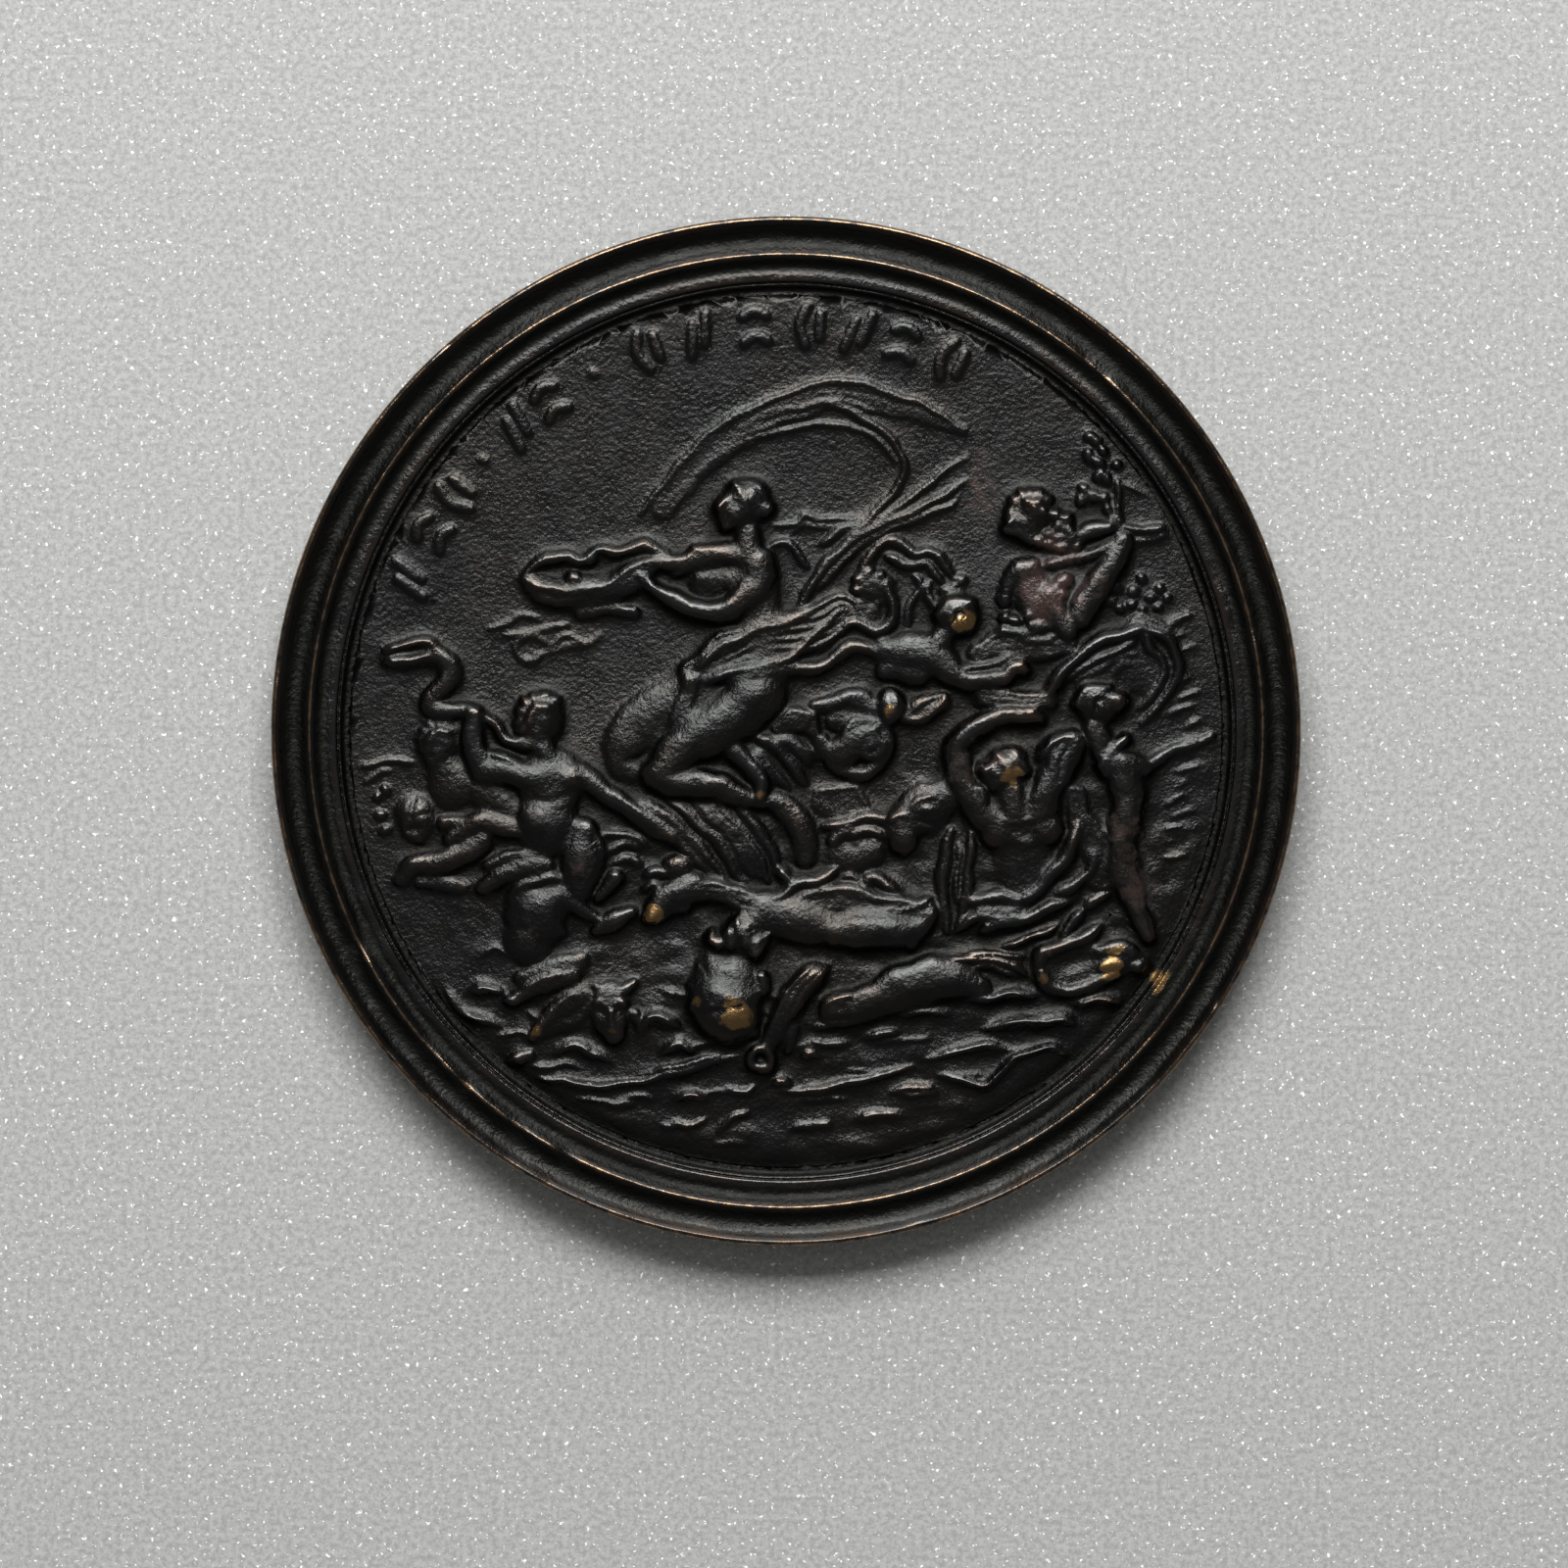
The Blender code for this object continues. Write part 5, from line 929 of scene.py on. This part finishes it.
def carveMap():
    # the whole relief on one grid in mm over the field, its valleys filled and its corners eased
    span, count = reliefForm["mapSpan"], reliefForm["mapSteps"]
    line = np.linspace(-span, span, count + 1)
    x, y = np.meshgrid(line, line)
    height = drawRelief(x.ravel(), y.ravel()).reshape(x.shape)
    eased = reliefForm["eased"]
    height = (1 - eased) * height + eased * blurred(height, reliefForm["easeReach"])
    hollow = np.maximum(blurred(height, reliefForm["footReach"]) - height, 0)
    height = height + reliefForm["foot"] * hollow
    swell = blurred(height, reliefForm["swellReach"]) ** 2
    top = np.unravel_index(height.argmax(), height.shape)
    lift = (reliefForm["height"] - reliefForm["share"] * height[top]) / swell[top]
    print("the ground swells by", round(float(lift), 2), "of the crowd's height")
    height = reliefForm["share"] * height + lift * swell
    figure = np.clip((height - 0.4) / 0.8, 0, 1)
    flesh = murmur(x, y, 2.6, 31) + 0.6 * murmur(x, y, 1.4, 32) + 0.25 * murmur(x, y, 0.8, 33)
    skin = murmur(x, y, 3.7, 21) + 0.6 * murmur(x, y, 1.6, 22)
    height = height + reliefForm["lumps"] * figure * flesh + reliefForm["unevenness"] * skin
    print("relief carved, highest point", round(float(height.max()), 2), "mm over the field")
    return height


def reliefSheet(heights):
    # a square grid drawn round, raised to the relief and thinned where it is plain
    mesh = bpy.data.meshes.new("reliefSheet")
    bm = bmesh.new()
    bmesh.ops.create_grid(bm, x_segments=reliefForm["gridSteps"], y_segments=reliefForm["gridSteps"], size=1)
    flat = np.array([vert.co for vert in bm.verts])
    radius = reliefForm["borderRadius"]
    x = radius * flat[:, 0] * np.sqrt(1 - 0.5 * flat[:, 1] ** 2)
    y = radius * flat[:, 1] * np.sqrt(1 - 0.5 * flat[:, 0] ** 2)
    z = np.minimum(sampled(heights, x, y), reliefForm["height"] - reliefForm["headroom"])
    fade = np.clip((radius - np.hypot(x, y)) / reliefForm["borderFade"], 0, 1)
    fade = fade * fade * (3 - 2 * fade)
    for vert, place in zip(bm.verts, np.stack([x, y, reliefForm["fieldHeight"] + z * fade], axis=1)):
        vert.co = place * mm
    bm.to_mesh(mesh)
    bm.free()
    fine = bpy.data.objects.new("reliefSheet", mesh)
    bpy.context.scene.collection.objects.link(fine)
    thin = fine.modifiers.new("thin", "DECIMATE")
    thin.ratio = reliefForm["keptFaces"] / (2 * reliefForm["gridSteps"] ** 2)
    thinned = bpy.data.meshes.new_from_object(fine.evaluated_get(bpy.context.evaluated_depsgraph_get()))
    bpy.data.objects.remove(fine)
    return thinned


rimForm = {
    "turnSteps": 600,
    "radius": 43.5,
    "height": 4.8,
    "ridgeHeight": 4.5,
    "bandHeight": 3.8,
    "backRecess": 0.8,
    "unsteadiness": 0.03,
    "wornLip": (43.35, 0.3),        # radius and width in mm of the edges that hands wear
    "wornRidge": (40.3, 0.22),
    "sootAndShadeRings": ((41.75, 1.15), (39.4, 0.5)),      # and of the coves, painted dark as soot and shade
    "nicks": [  # angle in degrees, radius in mm, length, width and depth of each knock
        (48.5, 40.3, 1.2, 0.5, 0.35), (51, 40.3, 0.6, 0.5, 0.2), (206.7, 40.3, 1.1, 0.6, 0.4),
        (222, 40.3, 1.6, 0.5, 0.25), (228, 40.3, 0.9, 0.5, 0.3), (236, 40.3, 1.4, 0.5, 0.22),
        (243, 40.3, 0.8, 0.5, 0.28), (17, 38.6, 0.5, 0.4, -0.16), (15.2, 38.7, 0.4, 0.4, -0.14),
        (172.6, 43.3, 1.5, 0.5, 0.3), (97, 43.3, 1, 0.4, 0.14), (131, 43.3, 0.8, 0.4, 0.2),
        (285, 43.3, 1.2, 0.4, 0.2), (328, 43.3, 0.7, 0.4, 0.22), (12, 40.3, 0.7, 0.4, 0.2),
    ],
}


def cove(start, end, depth, count):
    # points from start to end, hollowed by that depth, or swollen where it is negative
    points = []
    for i in range(1, count + 1):
        t = i / count
        points.append((start[0] + (end[0] - start[0]) * t,
                       start[1] + (end[1] - start[1]) * t - depth * 4 * t * (1 - t)))
    return points


def rimProfile():
    # from the field's edge over the mouldings, down the side and under to the back's middle
    field, band, ridgeTop = reliefForm["fieldHeight"], rimForm["bandHeight"], rimForm["ridgeHeight"]
    outer, lip, recess = rimForm["radius"], rimForm["height"], rimForm["backRecess"]
    profile = [(reliefForm["borderRadius"], field), (37.18, field), (37.36, field)]
    for place, depth, count in (
        ((37.72, field + 0.5), 0.09, 3),            # the step up from the field
        ((37.98, field + 0.42), -0.09, 3),
        ((38.05, band - 0.05), 0.03, 2),            # the flat inner band
        ((38.3, band), -0.03, 3),
        ((38.85, band - 0.1), -0.03, 3),
        ((40.12, ridgeTop - 0.08), 0.3, 6),         # the inner cove and the sharp ridge
        ((40.46, ridgeTop - 0.08), -0.09, 4),
        ((43.06, lip - 0.05), 0.75, 9),             # the wide cove and the lip
        ((outer, lip - 0.22), -0.12, 4),
        ((outer - 0.02, 0.45), 0, 3),               # the side
        ((outer - 0.4, 0), -0.08, 3),
        ((38.2, 0), 0, 3),                          # the ring behind and the sunk back
        ((37.2, recess), -0.1, 4),
        ((0, recess), 0, 5),
    ):
        profile += cove(profile[-1], place, depth, count)
    return profile


def turnRim(bm):
    verts = [bm.verts.new((radius * mm, 0, height * mm)) for radius, height in rimProfile()]
    edges = [bm.edges.new(pair) for pair in zip(verts, verts[1:])]
    bmesh.ops.spin(bm, geom=verts + edges, cent=(0, 0, 0), axis=(0, 0, 1), dvec=(0, 0, 0),
                   angle=2 * math.pi, steps=rimForm["turnSteps"], use_merge=True, use_duplicate=False)
    bmesh.ops.remove_doubles(bm, verts=bm.verts, dist=0.001 * mm)


def wearRim(places):
    # a cast rim isn't quite true, and its face has been knocked; places is an array of mm
    x, y, z = places[:, 0], places[:, 1], places[:, 2]
    radius = np.hypot(x, y)
    face = np.clip((radius - 37.6) / 0.4, 0, 1) * np.clip((z - 1.5) / 1.5, 0, 1)
    z += face * rimForm["unsteadiness"] * (murmur(x, y, 5.2, 11) + 0.5 * murmur(x, y, 1.9, 12))
    for turn, where, long, wide, depth in rimForm["nicks"]:
        angle = math.radians(turn)
        along = y * math.cos(angle) - x * math.sin(angle)
        ahead = x * math.cos(angle) + y * math.sin(angle)
        away = (along / long) ** 2 + ((radius - where) / wide) ** 2
        z -= depth * np.exp(-away) * (ahead > 0) * np.clip((z - 2) / 1.5, 0, 1)
    return places


def castMedal(heights):
    bm = bmesh.new()
    turnRim(bm)
    bm.from_mesh(reliefSheet(heights))
    bmesh.ops.bridge_loops(bm, edges=[edge for edge in bm.edges if edge.is_boundary])
    places = np.array([vert.co for vert in bm.verts]) / mm
    for vert, place in zip(bm.verts, wearRim(places)):
        vert.co = place * mm
    bmesh.ops.triangulate(bm, faces=[face for face in bm.faces if len(face.verts) > 4])
    bmesh.ops.recalc_face_normals(bm, faces=bm.faces)
    loose = sum(1 for edge in bm.edges if not edge.is_manifold)
    mesh = bpy.data.meshes.new("medalCasting")
    bm.to_mesh(mesh)
    bm.free()
    mesh.shade_smooth()
    piece = bpy.data.objects.new("medalCasting", mesh)
    bpy.context.scene.collection.objects.link(piece)
    triangles = sum(len(face.vertices) - 2 for face in mesh.polygons)
    print("medal cast:", triangles, "triangles,", loose, "loose edges")
    return piece


# where hands have rubbed the patina through to golden metal: x, y, radius in mm and strength
rubbedSpots = [
    (-4.7, -23.5, 1.1, 1), (-7.5, -22.8, 0.7, 0.9), (15.3, 9.6, 1, 0.8), (19.2, -4, 0.9, 0.9),
    (6.6, -2.8, 1, 0.7), (8.6, 1.7, 0.8, 0.8), (21.8, -21, 0.8, 0.8), (27.2, -19.9, 1.1, 1),
    (31.6, -21, 0.9, 0.9), (-11.6, -15.4, 0.8, 1), (-21.2, -25.4, 0.7, 0.9), (-2.1, -5.4, 0.6, 0.8),
    (29.8, 8, 1, 0.6), (23.4, -27.3, 0.9, 0.5), (-14.7, -25.4, 0.6, 0.7), (19.4, -21.9, 0.8, 0.5),
    (27.8, -19.4, 1.4, 1.1), (31.2, -20.8, 1.3, 1.1), (-4.1, -24.1, 1.4, 1.1), (14.7, 9.2, 1, 1),
    (19.1, -4, 1, 1), (-2.6, 8.9, 0.7, 0.8), (-11.2, -15.6, 0.9, 1),
]
# where the brown ground shows through the black: x, y, radius in mm and strength
russetSpots = [
    (25.5, 13, 3.2, 0.6), (14.6, -3.4, 3, 0.5), (21.6, 11, 2.4, 0.55), (22.6, 16.4, 2.2, 0.5),
    (4.6, 9, 3, 0.4), (16.6, 19.5, 3.2, 0.6), (16.2, 24, 2.4, 0.5), (-21, -6, 3.4, 0.5),
    (28.6, -8, 4, 0.6), (30, -14, 3, 0.6), (19, -1, 4, 0.5), (8, -16.8, 4, 0.34), (12, -21.6, 4, 0.34),
    (-8, -1, 4, 0.35), (-17.3, -11, 2.4, 0.6), (20.5, 13, 3, 0.4), (24, 7, 3, 0.4),
    (-21.4, -16.6, 3, 0.5), (22, -18, 4, 0.5), (31, 7.6, 3, 0.4),
]


def markWear(piece, heights):
    # each vertex keeps how far it stands over its surroundings and how rubbed and how brown it is
    span, count = reliefForm["mapSpan"], reliefForm["mapSteps"]
    line = np.linspace(-span, span, count + 1)
    away = np.hypot(*np.meshgrid(line, line))
    top = [point for point in rimProfile() if point[1] > 2][:30]
    mouldings = np.interp(away, [point[0] for point in top], [point[1] for point in top])
    heights = np.where(away > reliefForm["borderRadius"], mouldings, heights + reliefForm["fieldHeight"])
    places = np.array([vert.co for vert in piece.data.vertices]) / mm
    x, y, z = places[:, 0], places[:, 1], places[:, 2]
    radius = np.hypot(x, y)
    standing = z - sampled(blurred(heights, reliefForm["standingReach"]), x, y)
    rubbed, russet = np.zeros_like(x), np.zeros_like(x)
    for spots, mask in ((rubbedSpots, rubbed), (russetSpots, russet)):
        for spotX, spotY, size, strength in spots:
            mask += strength * np.exp(-((x - spotX) ** 2 + (y - spotY) ** 2) / size ** 2)
    lip, ridgeTop = [np.exp(-((radius - rimForm[edge][0]) / rimForm[edge][1]) ** 2)
                     for edge in ("wornLip", "wornRidge")]
    # the coves that are painted dark, as soot and shade
    sootAndShade = sum(np.exp(-((radius - ring) / wide) ** 4) for ring, wide in rimForm["sootAndShadeRings"])
    masks = {"standing": np.where(z > 1.5, standing, 0), "rubbed": rubbed, "russet": russet,
             "rimWear": lip * (z > 3) + ridgeTop, "sootAndShade": sootAndShade * (z > 3)}
    for name, values in masks.items():
        layer = piece.data.attributes.new(name, "FLOAT", "POINT")
        layer.data.foreach_set("value", values.astype(np.float32))
    print("wear marked on", len(places), "points")


def nodeGroup(name, inputs, outputs):
    group = bpy.data.node_groups.new(name, "ShaderNodeTree")
    for label, value in inputs:
        socket = group.interface.new_socket(label, in_out="INPUT", socket_type="NodeSocketFloat")
        socket.default_value = value
    for label in outputs:
        group.interface.new_socket(label, in_out="OUTPUT", socket_type="NodeSocketFloat")
    return group, group.nodes.new("NodeGroupInput"), group.nodes.new("NodeGroupOutput")


def joinMath(tree, operation, first, second, clamp=False):
    node = tree.nodes.new("ShaderNodeMath")
    node.operation = operation
    node.use_clamp = clamp
    for i, value in enumerate((first, second)):
        if isinstance(value, (int, float)):
            node.inputs[i].default_value = value
        else:
            tree.links.new(value, node.inputs[i])
    return node.outputs[0]


def times(tree, first, second, clamp=False):
    return joinMath(tree, "MULTIPLY", first, second, clamp)


def plus(tree, first, second):
    return joinMath(tree, "ADD", first, second)


def noiseOn(tree, place, size, detail=3, rough=0.5):
    # size is the pattern's own, in metres
    node = tree.nodes.new("ShaderNodeTexNoise")
    node.inputs["Scale"].default_value = 1 / size
    node.inputs["Detail"].default_value = detail
    node.inputs["Roughness"].default_value = rough
    tree.links.new(place, node.inputs["Vector"])
    return node.outputs["Fac"]


def ranged(tree, value, low, high, outLow=0, outHigh=1):
    node = tree.nodes.new("ShaderNodeMapRange")
    node.interpolation_type = "SMOOTHSTEP"
    for label, number in (("From Min", low), ("From Max", high), ("To Min", outLow), ("To Max", outHigh)):
        node.inputs[label].default_value = number
    tree.links.new(value, node.inputs["Value"])
    return node.outputs["Result"]


def mixed(tree, share, first, second):
    node = tree.nodes.new("ShaderNodeMix")
    node.data_type = "RGBA"
    tree.links.new(share, node.inputs["Factor"])
    for socket, colour in ((node.inputs[6], first), (node.inputs[7], second)):
        if isinstance(colour, tuple):
            socket.default_value = colour + (1,)
        else:
            tree.links.new(colour, socket)
    return node.outputs[2]


bronzeLook = {
    "black": (0.030, 0.031, 0.030),     # the flat ground
    "sheen": (0.048, 0.049, 0.048),     # the higher, smoother forms
    "brown": (0.070, 0.050, 0.038),
    "russet": (0.034, 0.014, 0.010),    # a dull crust, so hardly a metal
    "copper": (0.20, 0.135, 0.085),
    # dust in the hollows, darkened further as painted shade
    "golden": (0.33, 0.20, 0.085),
    "dustAndShade": (0.011, 0.011, 0.010),
    # the rim's coves: soot, and painted shade
    "sootAndShade": (0.016, 0.016, 0.015),
    "roughness": 0.255,
    "polished": 0.15,       # roughness of the highest forms
    "skinDepth": 0.00012,   # metres
}


def readMask(tree, name):
    node = tree.nodes.new("ShaderNodeAttribute")
    node.attribute_name = name
    return node.outputs["Fac"]


def castSkin():
    # the uneven skin of the casting as a height: slow waves, grain and small pits
    group, given, out = nodeGroup("castSkin", [("Wave", 0.5), ("Grain", 0.3), ("Pits", 0.3)], ["Height"])
    place = group.nodes.new("ShaderNodeTexCoord").outputs["Object"]
    wave = noiseOn(group, place, 0.0016, 3, 0.55)
    grain = noiseOn(group, place, 0.0004, 4, 0.6)
    pits = ranged(group, noiseOn(group, place, 0.0009, 2, 0.5), 0.27, 0.38)
    height = times(group, wave, given.outputs["Wave"])
    height = plus(group, height, times(group, grain, given.outputs["Grain"]))
    height = plus(group, height, times(group, pits, given.outputs["Pits"]))
    group.links.new(height, out.inputs["Height"])
    return group


def brokenMask():
    # a mask whose edge is eaten into by uneven patches, as worn patina is
    group, given, out = nodeGroup("brokenMask", [("Mask", 0), ("Reach", 1), ("Break", 0.5)], ["Worn"])
    place = group.nodes.new("ShaderNodeTexCoord").outputs["Object"]
    patches = noiseOn(group, place, 0.0011, 5, 0.65)
    level = times(group, given.outputs["Mask"], given.outputs["Reach"])
    uneven = times(group, joinMath(group, "SUBTRACT", patches, 0.5), given.outputs["Break"])
    gate = ranged(group, plus(group, level, uneven), 0.42, 0.72)
    group.links.new(times(group, gate, 1, True), out.inputs["Worn"])
    return group


def brokenBy(tree, group, mask, reach, broken):
    node = tree.nodes.new("ShaderNodeGroup")
    node.node_tree = group
    tree.links.new(mask, node.inputs["Mask"])
    node.inputs["Reach"].default_value = reach
    node.inputs["Break"].default_value = broken
    return node.outputs["Worn"]


def patinaColour(tree, place, breaking, standing, deep, crust, rubbed):
    # each finish laid over the last, from the black ground to the bared metal
    high = ranged(tree, standing, 0.02, 0.45)
    cloud = ranged(tree, noiseOn(tree, place, 0.006, 4, 0.55), 0.43, 0.66)
    edges = brokenBy(tree, breaking, ranged(tree, standing, 0.3, 0.6), 0.6, 1.1)
    colour = bronzeLook["black"]
    for share, finish in (
        (high, "sheen"),
        (times(tree, cloud, plus(tree, times(tree, high, 0.7), 0.15)), "brown"),
        (crust, "russet"),
        (times(tree, edges, 0.5), "brown"),
        # hollows darkened: dust, and painted shade where the crevices lie
        (times(tree, deep, 0.85), "dustAndShade"),
        # the rim's coves darkened: soot, and painted shade
        (times(tree, readMask(tree, "sootAndShade"), 0.92), "sootAndShade"),
        (brokenBy(tree, breaking, readMask(tree, "rimWear"), 0.66, 1.3), "copper"),
        (rubbed, "golden"),
    ):
        colour = mixed(tree, share, colour, bronzeLook[finish])
    return colour


def patinaRoughness(tree, place, standing, deep, rubbed):
    rough = ranged(tree, standing, 0, 0.3, bronzeLook["roughness"], bronzeLook["polished"])
    for part in (
        ranged(tree, noiseOn(tree, place, 0.0021, 4, 0.6), 0.3, 0.7, -0.05, 0.09),
        times(tree, deep, 0.2),
        times(tree, readMask(tree, "sootAndShade"), 0.1),
        times(tree, rubbed, 0.05),
    ):
        rough = plus(tree, rough, part)
    return rough


def skinBump(tree, standing):
    # the cast skin, worn smoother on the high forms
    skin = tree.nodes.new("ShaderNodeGroup")
    skin.node_tree = castSkin()
    for label, value in (("Wave", 0.35), ("Grain", 0.75), ("Pits", 0.05)):
        skin.inputs[label].default_value = value
    bump = tree.nodes.new("ShaderNodeBump")
    bump.inputs["Distance"].default_value = bronzeLook["skinDepth"]
    bump.inputs["Strength"].default_value = 1
    worn = ranged(tree, standing, 0, 0.4, 1, 0.35)
    tree.links.new(times(tree, skin.outputs["Height"], worn), bump.inputs["Height"])
    return bump.outputs["Normal"]


def patinatedBronze():
    material = bpy.data.materials.new("patinatedBronze")
    material.use_nodes = True
    tree = material.node_tree
    shader = tree.nodes["Principled BSDF"]
    place = tree.nodes.new("ShaderNodeTexCoord").outputs["Object"]
    breaking = brokenMask()
    standing = readMask(tree, "standing")      # mm over the surroundings
    deep = ranged(tree, standing, -0.03, -0.28)
    crust = times(tree, brokenBy(tree, breaking, readMask(tree, "russet"), 0.9, 0.9), 0.85)
    raised = plus(tree, times(tree, ranged(tree, standing, 0.02, 0.2), 0.6), 0.4)
    touched = times(tree, readMask(tree, "rubbed"), raised)
    rubbed = times(tree, brokenBy(tree, breaking, touched, 0.9, 1.2), 0.8)
    colour = patinaColour(tree, place, breaking, standing, deep, crust, rubbed)
    tree.links.new(colour, shader.inputs["Base Color"])
    tree.links.new(joinMath(tree, "SUBTRACT", 1, crust), shader.inputs["Metallic"])
    tree.links.new(patinaRoughness(tree, place, standing, deep, rubbed), shader.inputs["Roughness"])
    tree.links.new(skinBump(tree, standing), shader.inputs["Normal"])
    return material


reliefHeights = carveMap()
medal = castMedal(reliefHeights)
markWear(medal, reliefHeights)
medal.data.materials.append(patinatedBronze())
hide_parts("medal")
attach(medal, "root")
print("bronze coloured")

studio = {
    "floorSize": 3,                  # metres
    "floorDrop": 0.00002,            # metres that it lies under the medal, so that the two don't touch
    "floorColour": (0.455, 0.455, 0.445),
    "ambient": 0.15,
    "lamps": {                       # place, width and height in metres, and watts
        "windowLight": ((-0.03, 0.51, 0.60), (0.62, 0.36), 9.4),
        "lowLight": ((0, 0.76, 0.24), (0.9, 0.34), 2),
        "overhead": ((0, 0.1, 1.1), (1.1, 0.9), 0.45),
    },
    "frameWidth": 0.13245,           # metres that the picture's width takes in at the rim's height
    "frameMiddle": (-0.00017, -0.00447),
    "cameraHeight": 0.8,             # metres over the rim
    "sensorWidth": 36,
}


def paleFloor():
    bm = bmesh.new()
    bmesh.ops.create_grid(bm, x_segments=1, y_segments=1, size=studio["floorSize"] / 2)
    mesh = bpy.data.meshes.new("floor")
    bm.to_mesh(mesh)
    bm.free()
    floor = bpy.data.objects.new("floor", mesh)
    floor.location.z = -studio["floorDrop"]
    bpy.context.scene.collection.objects.link(floor)
    material = bpy.data.materials.new("palePaper")
    material.use_nodes = True
    tree = material.node_tree
    shader = tree.nodes["Principled BSDF"]
    place = tree.nodes.new("ShaderNodeTexCoord").outputs["Object"]
    speckle = ranged(tree, noiseOn(tree, place, 0.0005, 3, 0.8), 0.36, 0.62)
    darker = tuple(0.7 * part for part in studio["floorColour"])
    paper = mixed(tree, speckle, darker, studio["floorColour"])
    glint = ranged(tree, noiseOn(tree, place, 0.00045, 2, 0.6), 0.63, 0.7)
    tree.links.new(mixed(tree, glint, paper, (1, 1, 0.99)), shader.inputs["Base Color"])
    shader.inputs["Roughness"].default_value = 0.9
    mesh.materials.append(material)


def softLight():
    world = bpy.data.worlds.new("studio")
    bpy.context.scene.world = world
    world.use_nodes = True
    backdrop = world.node_tree.nodes["Background"]
    backdrop.inputs["Color"].default_value = (1, 1, 0.985, 1)
    backdrop.inputs["Strength"].default_value = studio["ambient"]
    for name, (place, (width, height), watts) in studio["lamps"].items():
        lamp = bpy.data.lights.new(name, "AREA")
        lamp.shape = "RECTANGLE"
        lamp.size, lamp.size_y = width, height
        lamp.energy = watts
        lampObject = bpy.data.objects.new(name, lamp)
        lampObject.location = place
        lampObject.rotation_euler = (-Vector(place)).to_track_quat("-Z", "Y").to_euler()
        bpy.context.scene.collection.objects.link(lampObject)


def lookDown():
    camera = bpy.data.cameras.new("camera")
    camera.sensor_width = studio["sensorWidth"]
    camera.lens = studio["sensorWidth"] * studio["cameraHeight"] / studio["frameWidth"]
    cameraObject = bpy.data.objects.new("camera", camera)
    cameraObject.location = (*studio["frameMiddle"], studio["cameraHeight"] + rimForm["height"] * mm)
    bpy.context.scene.collection.objects.link(cameraObject)
    bpy.context.scene.camera = cameraObject


paleFloor()
softLight()
lookDown()
bpy.context.scene.view_settings.view_transform = "Standard"
print("floor, light and camera set")
